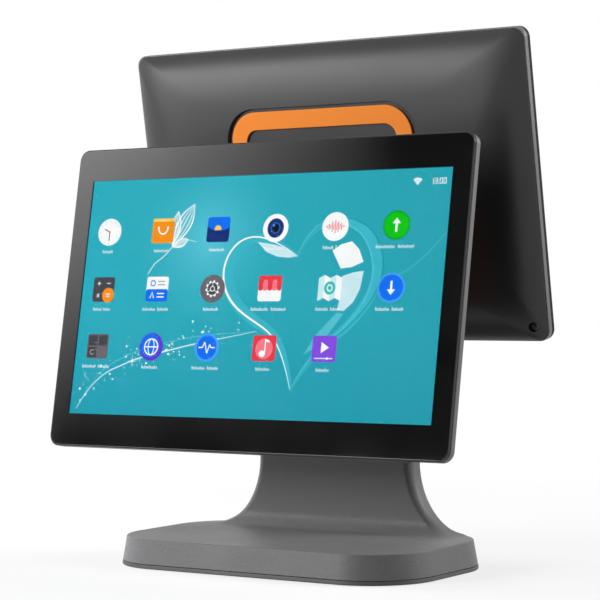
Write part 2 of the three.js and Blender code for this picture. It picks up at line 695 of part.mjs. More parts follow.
/** Metal band round the display's edge, with a slot in its underside where there is a button. */
function sideFrame(hasButton) {
  const front = DEPTH.rim + SEAT;
  const band = loft([
    displayRing(0, front),
    displayRing(0, DEPTH.band),
    displayRing(BAND_WALL, DEPTH.band),
    displayRing(BAND_WALL, front),
  ], true);
  return hasButton ? cut(band, buttonBody(SEAT, OVERRUN)) : band;
}

/** The button's shaft through the band, grown by a clearance round it and run on past both faces. */
function buttonBody(clearance = 0, overrun = 0) {
  const halfLength = BUTTON.halfLength + clearance;
  const halfWidth = BUTTON.halfWidth + clearance;
  const middle = (DEPTH.rim + SEAT + DEPTH.band) / 2;
  const points = outline(halfLength, halfWidth, BUTTON.corner + clearance)
    .map(([a, b]) => [a + BUTTON_X, b + middle]);
  const bottom = -HALF_H - BUTTON.proud - overrun;
  return loft([levelRing(points, bottom), levelRing(points, -HALF_H + BAND_WALL + SEAT + overrun)]);
}

/** Button cap with the flange that keeps it in the band. */
function powerButton() {
  const middle = (DEPTH.rim + SEAT + DEPTH.band) / 2;
  const lap = BUTTON.flangeLap;
  const seat = -HALF_H + BAND_WALL + SEAT;
  const flange = block(
    [BUTTON_X - BUTTON.halfLength - lap, middle - BUTTON.halfWidth - lap, seat],
    [BUTTON_X + BUTTON.halfLength + lap, middle + BUTTON.halfWidth + lap, seat + BUTTON.flange],
  );
  return join(buttonBody(), flange);
}

/** Steel plate behind the LCD, with studs for the board. */
function chassis(board) {
  const plate = loft([displayRing(SKIRT_INSET, CHASSIS_FRONT), displayRing(SKIRT_INSET, CHASSIS_BACK)]);
  const studs = [-1, 1].flatMap((sx) => [-1, 1].map((sz) => stud(
    CHASSIS.bossRadius,
    board.x + sx * (board.halfWidth - 2 * CHASSIS.bossRadius),
    board.z + sz * (board.halfHeight - 2 * CHASSIS.bossRadius),
    CHASSIS_FRONT + CHASSIS.thickness / 2,
    CHASSIS_BACK + CHASSIS.bossHeight,
  )));
  return join(plate, ...studs);
}

/** One ring of the rear cover's crown, the cover's wall inside it when inner is set. */
function crownRing([inset, share], inner) {
  const wall = inner ? SHELL_WALL : 0;
  const depth = SHELL_FRONT + share * (DEPTH.crown - wall - SHELL_FRONT);
  const margin = inset + wall * (1 - share);
  const corner = DISPLAY.corner + inset * CROWN_CORNER_GROWTH - wall * (1 - share);
  return facingRing(outline(HALF_W - margin, HALF_H - margin, corner), depth);
}

const cornerScrewPlaces = () =>
  [-1, 1].map((side) => [side * (HALF_W - CORNER_SCREW.fromSide), CORNER_SCREW.fromBottom - HALF_H]);

/** Crowned rear cover: open towards the glass, with the ring's well and two screw bosses. */
function rearCover() {
  const outside = CROWN.map((step) => crownRing(step, false)).reverse();
  const inside = CROWN.filter((_, i) => i % 2 === 0 || i === CROWN.length - 1)
    .map((step) => crownRing(step, true));
  const shell = loft([...outside, ...inside]);
  const crown = loft(outside);
  const well = panel(RING_HALF_W + RING.groove, RING_HALF_H + RING.groove, RING.corner + RING.groove,
    PANEL_BACK - PANEL.thickness, DEPTH.crown + OVERRUN);
  const bosses = cornerScrewPlaces()
    .map(([x, z]) => common(stud(CORNER_SCREW.boss, x, z, SHELL_FRONT, DEPTH.crown), crown));
  const recesses = cornerScrewPlaces().flatMap(([x, z]) => [
    stud(CORNER_SCREW.recessRadius, x, z, CORNER_SCREW.seatDepth, DEPTH.crown + OVERRUN),
    stud(SCREW.shank + SCREW.clearance, x, z, SHELL_FRONT - OVERRUN, CORNER_SCREW.seatDepth + OVERRUN),
  ]);
  return cut(join(shell, ...bosses), well, ...recesses);
}

/** Recessed panel that closes the well from inside and carries the ring; the bracket passes its window. */
function ringPanel() {
  const front = PANEL_BACK - PANEL.thickness;
  const plate = panel(
    RING_HALF_W + RING.groove + PANEL.lap,
    RING_HALF_H + RING.groove + PANEL.lap,
    RING.corner + RING.groove + PANEL.cornerLap,
    front,
    PANEL_BACK,
  );
  const window = panel(ARM_OUTER + WINDOW.sideGap, BRACKET.rootHalf + WINDOW.endGap, WINDOW.corner,
    front - OVERRUN, PANEL_BACK + OVERRUN);
  return cut(plate, window);
}

/** Coloured ring that lies on the recessed panel. */
function accentRing() {
  const front = PANEL_BACK + SEAT;
  const back = DEPTH.crown - RING.sunk;
  const outer = outline(RING_HALF_W, RING_HALF_H, RING.corner);
  const inner = outline(RING_HALF_W - RING.band, RING_HALF_H - RING.band, RING.innerCorner);
  return loft([facingRing(outer, front), facingRing(outer, back), facingRing(inner, back),
    facingRing(inner, front)], true);
}

/** Bracket on the chassis whose two arms reach back to the hinge shaft. */
function tiltBracket() {
  const front = CHASSIS_BACK + SEAT;
  const back = front + BRACKET.thickness;
  const arms = [ARM_OUTER - HINGE.earThickness, -ARM_OUTER].map((x) => ear({
    root: back - BRACKET.thickness / 2,
    rootHalf: BRACKET.rootHalf,
    reach: DEPTH.hinge,
    x,
  }));
  return join(panel(BRACKET.halfWidth, BRACKET.halfHeight, BRACKET.corner, front, back), ...arms);
}

/** Turned ring or shaft about the hinge axis: profile points are [radius, place along X]. */
function turned(profile) {
  return new THREE.LatheGeometry(profile.map(([r, x]) => new THREE.Vector2(r, x)), ROUND_SIDES)
    .rotateZ(-Math.PI / 2)
    .translate(0, DEPTH.hinge, 0);
}

const EAR_OUTER = HINGE.earInner + HINGE.earThickness;

/** Headed shaft through the ears and the bracket's arms. */
function hingeShaft() {
  const head = -EAR_OUTER - SEAT;
  const tip = EAR_OUTER + SEAT + HINGE.nutLength + HINGE.tip;
  return turned([[0, head - HINGE.headLength], [HINGE.headRadius, head - HINGE.headLength],
    [HINGE.headRadius, head], [HINGE.shaft, head], [HINGE.shaft, tip], [0, tip]]);
}

/** Flat washer between an ear and an arm, on the given side. */
function frictionWasher(side) {
  const bore = HINGE.shaft + HINGE.clearance;
  const near = side * (HINGE.earInner - SEAT);
  const far = near - side * HINGE.washer;
  const [low, high] = near < far ? [near, far] : [far, near];
  const rim = HINGE.washerRadius;
  return turned([[bore, low], [rim, low], [rim, high], [bore, high], [bore, low]]);
}

/** Hexagon nut on the shaft's end, outside the ear. */
function hingeNut() {
  const hexagon = new THREE.Shape(Array.from({ length: NUT_SIDES }, (_, i) => new THREE.Vector2(
    HINGE.nutRadius * Math.cos((i * 2 * Math.PI) / NUT_SIDES),
    HINGE.nutRadius * Math.sin((i * 2 * Math.PI) / NUT_SIDES),
  )));
  hexagon.holes.push(new THREE.Path().absarc(0, 0, HINGE.shaft + HINGE.clearance, 0, 2 * Math.PI, true));
  return new THREE.ExtrudeGeometry(hexagon, {
    depth: HINGE.nutLength,
    bevelEnabled: false,
    curveSegments: ROUND_SIDES / 2,
  }).rotateY(Math.PI / 2).translate(EAR_OUTER + SEAT, DEPTH.hinge, 0);
}

/** A display's flat board, or a plate on it, between two depths. */
function slab({ x, z, halfWidth, halfHeight, thickness }, front) {
  return block([x - halfWidth, front, z - halfHeight], [x + halfWidth, front + thickness, z + halfHeight]);
}

/** A board standing so far inside the left edge of its display. */
const boardPlace = (board) => ({ ...board, x: board.fromSide + board.halfWidth - HALF_W });

/** One display; the main one also carries the speakers, the heat spreader and the power button. */
function display(name, boardSizes, isMain) {
  const group = new THREE.Group();
  const board = boardPlace(boardSizes);
  const boardFront = CHASSIS_BACK + CHASSIS.bossHeight + SEAT;
  const lcdFront = DEPTH.glass + SEAT;
  const lcd = { x: 0, z: 0, halfWidth: LCD.width / 2, halfHeight: LCD.height / 2, thickness: LCD.thickness };
  group.add(
    piece(`${name}_cover_glass`, coverGlass(), "glass"),
    piece(`${name}_lcd_panel`, slab(lcd, lcdFront), "lcd"),
    piece(`${name}_bezel_frame`, bezelFrame(), "bezel"),
    piece(`${name}_side_frame`, sideFrame(isMain), "band"),
    piece(`${name}_chassis`, chassis(board), "steel"),
    piece(`${name}_board`, slab(board, boardFront), "circuit"),
    piece(`${name}_rear_cover`, rearCover(), "housing"),
    piece(`${name}_ring_panel`, ringPanel(), "panel"),
    piece(`${name}_accent_ring`, accentRing(), "orange"),
    piece(`${name}_tilt_bracket`, tiltBracket(), "steel"),
    piece(`${name}_hinge_shaft`, hingeShaft(), "steel"),
    piece(`${name}_hinge_nut`, hingeNut(), "steel"),
    piece(`${name}_friction_washer_left`, frictionWasher(-1), "steel"),
    piece(`${name}_friction_washer_right`, frictionWasher(1), "steel"),
  );
  cornerScrewPlaces().forEach(([x, z], i) => {
    const headTop = CORNER_SCREW.seatDepth + SEAT + SCREW.headHeight;
    const length = CORNER_SCREW.seatDepth + SEAT - CHASSIS_BACK - SEAT;
    const geometry = screw(SCREW.head, SCREW.headHeight, SCREW.shank, length).rotateX(Math.PI / 2);
    const mesh = piece(`${name}_cover_screw_${["left", "right"][i]}`, geometry, "steel");
    mesh.position.set(x, headTop, z);
    group.add(mesh);
  });
  if (isMain) {
    const spreader = { ...SPREADER, x: board.x, z: board.z };
    group.add(
      piece(`${name}_heat_spreader`, slab(spreader, boardFront + board.thickness + SEAT), "steel"),
      piece("power_button", powerButton(), "black"),
    );
    [-1, 1].forEach((side) => {
      const x = side * (HALF_W - SPEAKER.fromSide - SPEAKER.halfWidth);
      const z = SPEAKER.fromBottom + SPEAKER.halfHeight - HALF_H;
      const speaker = { ...SPEAKER, x, z, thickness: SPEAKER.depth };
      const label = side < 0 ? "left" : "right";
      group.add(piece(`${name}_speaker_${label}`, slab(speaker, CHASSIS_BACK + SEAT), "black"));
    });
  }
  return group;
}

/** Stands a display up on its hinge: turn is half a turn for the one that faces the customer. */
function placed(model, { centreHeight, tilt, side }, turn) {
  const centreY = MAST.behind + side * (HINGE_REACH + DEPTH.hinge * Math.cos(radians(tilt))) - BASE.ahead;
  const leaning = new THREE.Group();
  leaning.rotation.x = -radians(tilt);
  leaning.add(model);
  const standing = new THREE.Group();
  standing.rotation.z = turn;
  standing.position.set(0, centreY, centreHeight);
  standing.add(leaning);
  return standing;
}

const terminal = new THREE.Group();
terminal.add(
  stand(),
  placed(display("main", MAIN_BOARD, true), MAIN, 0),
  placed(display("customer", DRIVER_BOARD, false), CUSTOMER, Math.PI),
);

export default terminal;
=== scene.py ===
"""Looks of a dual-screen point-of-sale touch terminal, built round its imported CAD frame.

Every shape is worked out in millimetres with numpy, as a profile carried round a rounded outline, turned about
an axis or pushed through a thickness, and stands in metres in the frame of the CAD model.
"""

from __future__ import annotations

import json
import logging
import math
from collections.abc import Callable, Iterable, Sequence
from dataclasses import dataclass, field
from enum import Enum

import bmesh
import bpy
import numpy as np
from mathutils import Matrix, Vector

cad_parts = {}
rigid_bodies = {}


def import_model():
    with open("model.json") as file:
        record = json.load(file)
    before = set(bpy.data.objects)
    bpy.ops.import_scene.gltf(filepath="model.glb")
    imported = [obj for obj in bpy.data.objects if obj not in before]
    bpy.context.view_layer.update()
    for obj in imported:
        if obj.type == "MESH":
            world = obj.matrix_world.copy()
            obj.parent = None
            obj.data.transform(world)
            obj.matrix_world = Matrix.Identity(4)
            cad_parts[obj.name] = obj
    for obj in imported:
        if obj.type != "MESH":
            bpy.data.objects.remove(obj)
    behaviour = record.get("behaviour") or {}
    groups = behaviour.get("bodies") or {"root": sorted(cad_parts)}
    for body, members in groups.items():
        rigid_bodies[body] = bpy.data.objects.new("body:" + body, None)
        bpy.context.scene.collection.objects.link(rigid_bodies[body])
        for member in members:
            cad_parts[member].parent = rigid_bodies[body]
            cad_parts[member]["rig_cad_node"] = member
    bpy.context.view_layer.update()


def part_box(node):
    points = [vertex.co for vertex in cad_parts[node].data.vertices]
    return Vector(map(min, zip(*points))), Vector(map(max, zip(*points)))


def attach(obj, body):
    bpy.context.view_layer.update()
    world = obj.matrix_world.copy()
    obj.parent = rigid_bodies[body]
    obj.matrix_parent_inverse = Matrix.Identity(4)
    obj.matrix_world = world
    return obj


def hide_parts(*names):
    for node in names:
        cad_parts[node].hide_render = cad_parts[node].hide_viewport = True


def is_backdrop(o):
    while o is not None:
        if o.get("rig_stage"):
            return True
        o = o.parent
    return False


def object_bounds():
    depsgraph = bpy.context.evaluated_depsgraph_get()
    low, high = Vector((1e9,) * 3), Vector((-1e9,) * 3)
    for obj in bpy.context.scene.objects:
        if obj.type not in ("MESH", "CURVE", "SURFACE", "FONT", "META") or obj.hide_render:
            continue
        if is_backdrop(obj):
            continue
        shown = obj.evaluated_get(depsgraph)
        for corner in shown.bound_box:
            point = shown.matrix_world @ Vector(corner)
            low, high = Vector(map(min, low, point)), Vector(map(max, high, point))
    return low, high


LOG = logging.getLogger("terminal")

MM = 0.001
SEAT = 0.3
PAST = 1.0
ROUND_SEGMENTS = 64
CORNER_STEPS = 12
FILLET_STEPS = 4
SMOOTH_ANGLE = math.radians(32)

Colour = tuple[float, float, float, float]
Array = np.ndarray
Rows = Array | Sequence[Sequence[float]]
Socket = bpy.types.NodeSocket


def srgb(red: int, green: int, blue: int) -> Colour:
    """Linear colour of an sRGB triple: each channel c becomes ((c + 0.055) / 1.055) to the power 2.4."""
    share = np.array([red, green, blue]) / 255
    linear = np.where(share <= 0.04045, share / 12.92, ((share + 0.055) / 1.055) ** 2.4)
    return (*(float(c) for c in linear), 1.0)


def grey(level: float, blue_cast: float = 1.0) -> Colour:
    """A linear grey, with its blue channel multiplied by a slight cast."""
    return (level, level, level * blue_cast, 1.0)


# ---- Surfaces as arrays ----


def outlines(half_a: Array | float, half_b: Array | float, corner: Array | float, steps: int = CORNER_STEPS,
             low_corner: Array | float | None = None) -> Array:
    """Rounded rectangles: a corner's centre is its sign times (half size less radius), and each point of its
    quarter turn lies one radius from there.

    Args:
        half_a: Half width of each outline.
        half_b: Half height of each outline.
        corner: Corner radius of each outline.
        steps: Steps in each quarter turn.
        low_corner: Radius of the two corners on the low side, if they have their own.

    Returns:
        Points of shape (outlines, 4 * (steps + 1), 2), anticlockwise.
    """
    quarter = np.repeat(np.arange(4), steps + 1)
    angle = (quarter + np.tile(np.linspace(0, 1, steps + 1), 4)) * np.pi / 2
    signs = np.array([[1, 1], [-1, 1], [-1, -1], [1, -1]])[quarter]
    way = np.stack([np.cos(angle), np.sin(angle)], axis=-1)
    low_corner = corner if low_corner is None else low_corner
    a, b, high, low = (v.reshape(-1, 1) for v in np.broadcast_arrays(half_a, half_b, corner, low_corner))
    radius = np.where(quarter < 2, high, low)[..., None]
    return signs * (np.stack([a, b], axis=-1) - radius) + radius * way


def filleted(corners: Rows, radii: Sequence[float], closed: bool = True, steps: int = FILLET_STEPS) -> Array:
    """Rounds the corners of a profile. At a corner with unit directions u and v to its neighbours and the angle
    t between them, the arc runs from r / tan(t / 2) along u to the same along v, about a centre r / sin(t)
    along both.

    Args:
        corners: Profile corners, one row each. The first and last columns measure distance, and the columns
            between are carried along.
        radii: Radius at each corner, 0 to leave it sharp.
        closed: Whether the last corner joins the first.
        steps: Steps in each arc.

    Returns:
        The rounded profile, in rows like those of the corners.
    """
    corners = np.asarray(corners, float)
    parts = []
    for i, radius in enumerate(radii):
        here = corners[i]
        if radius == 0 or (not closed and i in (0, len(radii) - 1)):
            parts.append(here[None])
            continue
        before, after = corners[i - 1] - here, corners[(i + 1) % len(corners)] - here
        u = before / np.hypot(before[0], before[-1])
        v = after / np.hypot(after[0], after[-1])
        turn = math.acos(float(np.clip(u[0] * v[0] + u[-1] * v[-1], -1, 1)))
        reach, centre, sweep = radius / math.tan(turn / 2), radius / math.sin(turn), math.pi - turn
        s = np.linspace(0, 1, steps + 1)[:, None]
        w0, w1 = np.sin((1 - s) * sweep) / math.sin(sweep), np.sin(s * sweep) / math.sin(sweep)
        along_u = centre + w0 * (reach - centre) - w1 * centre
        along_v = centre - w0 * centre + w1 * (reach - centre)
        parts.append(here + along_u * u + along_v * v)
    return np.concatenate(parts)


def depth_rings(stations: Rows, steps: int = CORNER_STEPS) -> Array:
    """Outlines that face along a display's depth, from rows of half width, half height, corner and depth."""
    stations = np.asarray(stations, float)
    flat = outlines(stations[:, 0], stations[:, 1], stations[:, 2], steps)
    depth = np.broadcast_to(stations[:, 3, None, None], (*flat.shape[:2], 1))
    return np.concatenate([flat[..., :1], depth, flat[..., 1:]], axis=-1)


def level_rings(stations: Rows, steps: int = CORNER_STEPS, low_corner: float | None = None) -> Array:
    """Level outlines, from rows of half width, half depth, corner and height."""
    stations = np.asarray(stations, float)
    flat = outlines(stations[:, 0], stations[:, 1], stations[:, 2], steps, low_corner)
    height = np.broadcast_to(stations[:, 3, None, None], (*flat.shape[:2], 1))
    return np.concatenate([flat, height], axis=-1)


def full_turn(count: int) -> Array:
    """Even angles round a circle, from 0."""
    return np.arange(count) * 2 * np.pi / count


def oval(centre: Sequence[float], half_a: Array | float, half_b: Array | float, angle: Array) -> Array:
    """Points of an oval at some angles: each lies half_a cos and half_b sin from its centre."""
    return np.asarray(centre) + np.stack([half_a * np.cos(angle), half_b * np.sin(angle)], -1)


def ring_quads(here: Array, there: Array, width: int) -> Array:
    """Quads between rings: from each ring in one list to the ring beside it in the other.

    Args:
        here: Numbers of the first rings.
        there: Numbers of the rings that they join.
        width: Points in each ring.

    Returns:
        Corner indices of the quads.
    """
    here, there = here[:, None] * width, there[:, None] * width
    side, after = np.arange(width)[None], (np.arange(width)[None] + 1) % width
    return np.stack([here + side, here + after, there + after, there + side], -1).reshape(-1, 4)


class Axis(Enum):
    """The axis that a turned or pushed shape runs along."""

    X = 0
    Y = 1
    Z = 2


def along(axis: Axis, flat: Array, place: Array) -> Array:
    """Puts flat points across an axis at places along it: the other two axes take the flat pair in order."""
    others = [i for i in range(3) if i != axis.value]
    points = np.zeros((*flat.shape[:-1], 3))
    points[..., others] = flat
    points[..., axis.value] = place
    return points


# ---- Forms ----


def linked(name: str, data: bpy.types.ID) -> bpy.types.Object:
    """An object in the scene for a mesh, a lamp or a camera."""
    made = bpy.data.objects.new(name, data)
    bpy.context.scene.collection.objects.link(made)
    return made


def new_object(name: str, points: Array, faces: Iterable[Sequence[int]]) -> bpy.types.Object:
    """A mesh object made from its corners, in metres, and its faces."""
    mesh = bpy.data.meshes.new(name)
    mesh.from_pydata(np.asarray(points, float).reshape(-1, 3).tolist(), [], [list(f) for f in faces])
    return linked(name, mesh)


def add_uv(mesh: bpy.types.Mesh, name: str, flat: Array) -> None:
    """Adds a UV map that gives each corner of a face the pair of the point it lies on."""
    index = np.empty(len(mesh.loops), int)
    mesh.loops.foreach_get("vertex_index", index)
    mesh.uv_layers.new(name=name).data.foreach_set("uv", flat[index].ravel())


class Form:
    """A closed surface held as a Blender object, which other forms add to and cut."""

    def __init__(self, points: Array, faces: Iterable[Sequence[int]]) -> None:
        """Makes the surface, its faces turned outwards.

        Args:
            points: Corner points in millimetres.
            faces: Corner indices of each face.
        """
        self.object = new_object("form", np.asarray(points, float) * MM, faces)
        self._edit(self._outwards)

    def _edit(self, change: Callable[[bmesh.types.BMesh], None]) -> None:
        """Runs a bmesh change on the mesh."""
        work = bmesh.new()
        work.from_mesh(self.object.data)
        change(work)
        work.to_mesh(self.object.data)
        work.free()

    @staticmethod
    def _outwards(work: bmesh.types.BMesh) -> None:
        """Merges doubles and turns the faces out."""
        bmesh.ops.remove_doubles(work, verts=work.verts, dist=1e-7)
        if work.calc_volume(signed=True) < 0:
            bmesh.ops.reverse_faces(work, faces=work.faces)

    def _apply(self) -> Form:
        """Bakes the live modifiers into the mesh."""
        graph = bpy.context.evaluated_depsgraph_get()
        made = bpy.data.meshes.new_from_object(self.object.evaluated_get(graph), depsgraph=graph)
        self.object.modifiers.clear()
        old, self.object.data = self.object.data, made
        bpy.data.meshes.remove(old)
        return self

    def _combine(self, others: Sequence[Form], operation: str) -> Form:
        """Adds, cuts or meets the other forms, which are used up."""
        for other in others:
            step = self.object.modifiers.new("step", "BOOLEAN")
            step.operation, step.solver, step.object = operation, "MANIFOLD", other.object
            self._apply()
            other.discard()
        return self

    def join(self, *others: Form) -> Form:
        """This form with the others added."""
        return self._combine(others, "UNION")

    def cut(self, *others: Form) -> Form:
        """This form with the others taken away."""
        return self._combine(others, "DIFFERENCE")

    def meet(self, other: Form) -> Form:
        """What this form shares with another."""
        return self._combine([other], "INTERSECT")

    def discard(self) -> None:
        """Removes the object and its mesh."""
        mesh = self.object.data
        bpy.data.objects.remove(self.object)
        bpy.data.meshes.remove(mesh)

    def bevel(self, width: float, segments: int = 2, angle: float = 40) -> Form:
        """Rounds edges sharper than an angle, by a width in millimetres."""
        step = self.object.modifiers.new("edges", "BEVEL")
        step.width, step.segments, step.angle_limit = width * MM, segments, math.radians(angle)
        step.limit_method, step.use_clamp_overlap = "ANGLE", True
        return self._apply()

    def turned(self, matrix: Matrix) -> Form:
        """Places the mesh by a matrix in metres."""
        self.object.data.transform(matrix)
        return self

    def moved(self, x: float = 0, y: float = 0, z: float = 0) -> Form:
        """Shifts the mesh in millimetres."""
        return self.turned(Matrix.Translation((x * MM, y * MM, z * MM)))

    def plane_uv(self, half_a: float, half_b: float) -> Form:
        """Gives the mesh a UV map from X and Z, 0 to 1 over the given half sizes."""
        mesh = self.object.data
        points = np.empty(len(mesh.vertices) * 3)
        mesh.vertices.foreach_get("co", points)
        add_uv(mesh, "picture", points.reshape(-1, 3)[:, [0, 2]] / (2 * MM * np.array([half_a, half_b])) + 0.5)
        return self

    def dress(self, name: str, body: str, finish: Finish, *stands_for: str,
              slot: bool = True) -> bpy.types.Object:
        """Finishes the piece: smooth shading with sharp edges, its material, its body and what it replaces.

        Args:
            name: The piece's name.
            body: The CAD body that it rides on.
            finish: Its finish.
            stands_for: CAD nodes that it replaces.
            slot: Not used.

        Returns:
            The finished object.
        """
        mesh = self.object.data
        self.object.name, mesh.name = name, name
        mesh.shade_smooth()
        mesh.set_sharp_from_angle(angle=SMOOTH_ANGLE)
        self.object.modifiers.new("normals", "WEIGHTED_NORMAL").keep_sharp = True
        self._apply()
        self.object.data.materials.clear()
        self.object.data.materials.append(finish.material())
        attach(self.object, body)
        if stands_for:
            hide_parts(*stands_for)
        LOG.info("%s: %d faces on %s", name, len(self.object.data.polygons), body)
        return self.object


def skin(rings: Array, loops: bool = False) -> Form:
    """A closed surface over rings: a quad between each pair of neighbours on neighbouring rings.

    Args:
        rings: Points of shape (rings, points, 3).
        loops: Whether the last ring joins the first, instead of a flat cap at each end.

    Returns:
        The form.
    """
    count, width = rings.shape[:2]
    here = np.arange(count if loops else count - 1)
    faces: list = ring_quads(here, (here + 1) % count, width).tolist()
    if not loops:
        faces += [list(range(width))[::-1], list(range((count - 1) * width, count * width))]
    return Form(rings, faces)


def prism(outline: Array, low: float, high: float, axis: Axis) -> Form:
    """A flat outline pushed along an axis between two places."""
    return skin(np.stack([along(axis, outline, low), along(axis, outline, high)]))


def turned(profile: Array, axis: Axis, centre: tuple[float, float] = (0, 0), loops: bool = False,
           segments: int = ROUND_SEGMENTS) -> Form:
    """A profile turned about an axis: each row of radius and place becomes a circle.

    Args:
        profile: Rows of radius and place along the axis.
        axis: The axis.
        centre: Where the axis crosses the plane of the other two.
        loops: Whether the profile closes on itself instead of ending in flat discs.
        segments: Sides of each circle.

    Returns:
        The form.
    """
    profile = np.asarray(profile, float)
    radius, place = profile[:, :1], profile[:, 1:]
    return skin(along(axis, oval(centre, radius, radius, full_turn(segments)), place), loops)


def rod(radius: float, axis: Axis, centre: tuple[float, float], low: float, high: float) -> Form:
    """A plain round bar along an axis."""
    return turned([[radius, low], [radius, high]], axis, centre)


def block(low: Sequence[float], high: Sequence[float]) -> Form:
    """A box between two corners."""
    flat = np.array([[low[0], low[1]], [high[0], low[1]], [high[0], high[1]], [low[0], high[1]]])
    return prism(flat, low[2], high[2], Axis.Z)


# ---- Finishes ----


class Nodes:
    """Adds and links the nodes of one material or world."""

    def __init__(self, owner: bpy.types.Material | bpy.types.World) -> None:
        """Empties the owner's node tree."""
        owner.use_nodes = True
        self.owner, self.tree = owner, owner.node_tree
        self.tree.nodes.clear()

    def add(self, kind: str, sockets: dict | None = None, **settings: str | int) -> bpy.types.Node:
        """Adds a node.

        Args:
            kind: Its type, without the common prefix.
            sockets: Values or output sockets for its inputs, by name or number.
            settings: Its properties.

        Returns:
            The node.
        """
        node = self.tree.nodes.new(f"ShaderNode{kind}")
        for key, value in settings.items():
            setattr(node, key, value)
        for key, value in (sockets or {}).items():
            if isinstance(value, Socket):
                self.tree.links.new(value, node.inputs[key])
            else:
                node.inputs[key].default_value = value
        return node

    def place(self, stretch: Sequence[float] | None = None) -> Socket:
        """The piece's own coordinates, drawn out along the axes whose factor is under 1."""
        where = self.add("TexCoord").outputs["Object"]
        return self.add("Mapping", {"Vector": where, "Scale": stretch}).outputs[0] if stretch else where

    def length(self, where: Socket) -> Socket:
        """The distance of a place from its origin."""
        return self.add("VectorMath", {0: where}, operation="LENGTH").outputs["Value"]

    def noise(self, where: Socket, size: float, detail: float = 2) -> Socket:
        """Noise whose features have a size in millimetres."""
        return self.add("TexNoise", {"Vector": where, "Scale": 1 / (size * MM), "Detail": detail}).outputs[0]

    def remap(self, value: Socket, start: float, end: float, low: float, high: float) -> Socket:
        """A value carried from one range to another."""
        return self.add("MapRange", {0: value, 1: start, 2: end, 3: low, 4: high}).outputs[0]

    def mix(self, share: Socket | float, first: Socket | Colour, second: Socket | Colour) -> Socket:
        """A blend of two colours."""
        return self.add("Mix", {0: share, 6: first, 7: second}, data_type="RGBA").outputs[2]

    def math(self, operation: str, first: Socket | float, second: Socket | float = 0.0) -> Socket:
        """What an operation makes of two values."""
        return self.add("Math", {0: first, 1: second}, operation=operation).outputs[0]

    def edges(self, radius: float) -> Socket:
        """1 on edges and 0 on flats: how far the rounded normal turns from the true one."""
        rounded = self.add("Bevel", {"Radius": radius * MM}, samples=4).outputs[0]
        true = self.add("NewGeometry").outputs["Normal"]
        turn = self.add("VectorMath", {0: rounded, 1: true}, operation="DOT_PRODUCT").outputs["Value"]
        return self.remap(turn, 0.995, 0.8, 0, 1)

    def principled(self, **sockets: Socket | Colour | float) -> bpy.types.Material:
        """Finishes with a principled surface, whose sockets are named with underscores."""
        values = {name.replace("_", " "): value for name, value in sockets.items()}
        return self.finish(self.add("BsdfPrincipled", values))

    def lit(self, roughness: float, light: Socket) -> bpy.types.Material:
        """Finishes with a dark surface that gives its own light and mirrors nothing."""
        return self.principled(Base_Color=grey(0.004), Roughness=roughness, Specular_IOR_Level=0.0,
                               Emission_Color=light, Emission_Strength=1.0)

    def finish(self, shader: bpy.types.Node) -> bpy.types.Material:
        """Links the surface and gives the material."""
        self.add("OutputMaterial", {"Surface": shader.outputs[0]})
        return self.owner


@dataclass(frozen=True)
class Finish:
    """A grained finish: mottled colour and roughness, a fine bump and an edge colour, which is wear on most
    finishes and painted shade on the accent ring.

    Sizes are in millimetres. mottle and grain are the sizes of the slow and the fine pattern, and stretch draws
    the fine one out along X, Y or Z as brushing does. The edge colour is that of a worn edge on most finishes; on
    the accent ring it is painted shade, darker than the ring, standing in for the shade on its rounded edges.
    """

    name: str
    slot: str
    colour: Colour
    roughness: float
    metallic: float = 0.0
    mottle: float = 60.0
    contrast: float = 0.12
    grain: float = 0.9
    grain_contrast: float = 0.05
    bump: float = 0.02
    spread: float = 0.06
    edge_wear_and_shade_share: float = 0.3
    edge_wear_and_shade: Colour = (0.3, 0.3, 0.3, 1.0)
    edge: float = 0.5
    specular: float = 0.5
    stretch: tuple[float, float, float] = (1.0, 1.0, 1.0)

    def material(self) -> bpy.types.Material:
        """The finish's material, made once."""
        return bpy.data.materials.get(self.name) or self.build(Nodes(bpy.data.materials.new(self.name)))

    def tint(self, factor: float) -> Colour:
        """The finish's colour multiplied by a factor, at most white."""
        return (*(min(c * factor, 1.0) for c in self.colour[:3]), 1.0)

    def colours(self, nodes: Nodes, where: Socket, slow: Socket, fine: Socket) -> Socket:
        """The colour before the edge colour is laid on: darker and lighter by the slow and the fine pattern."""
        speck = nodes.remap(fine, 0.3, 0.7, 1 - self.grain_contrast, 1 + self.grain_contrast)
        share = nodes.remap(slow, 0.3, 0.7, 0, 1)
        base = nodes.mix(share, self.tint(1 - self.contrast), self.tint(1 + self.contrast))
        return nodes.add("VectorMath", {0: base, "Scale": speck}, operation="SCALE").outputs[0]

    def build(self, nodes: Nodes) -> bpy.types.Material:
        """Builds the node tree.

        Args:
            nodes: The material's nodes.

        Returns:
            The material.
        """
        where = nodes.place()
        slow = nodes.noise(where, self.mottle, 3)
        fine = nodes.noise(nodes.place(self.stretch), self.grain, 2)
        # Edge mask: worn edges on most finishes, painted shade on the accent ring's edges.
        edge_wear_and_shade_mask = nodes.math("MULTIPLY", nodes.edges(self.edge), nodes.remap(slow, 0.35, 0.6, 0.3, 1))
        edge_wear_and_shade_mask = nodes.math("MULTIPLY", edge_wear_and_shade_mask, self.edge_wear_and_shade_share)
        colour = nodes.mix(edge_wear_and_shade_mask, self.colours(nodes, where, slow, fine), self.edge_wear_and_shade)
        rough = nodes.remap(slow, 0.3, 0.7, self.roughness - self.spread, self.roughness + self.spread)
        normal = nodes.add("Bump", {"Height": fine, "Strength": 1.0, "Distance": self.bump * MM}).outputs[0]
        return nodes.principled(Base_Color=colour, Roughness=rough, Metallic=self.metallic,
                                Specular_IOR_Level=self.specular, Normal=normal)


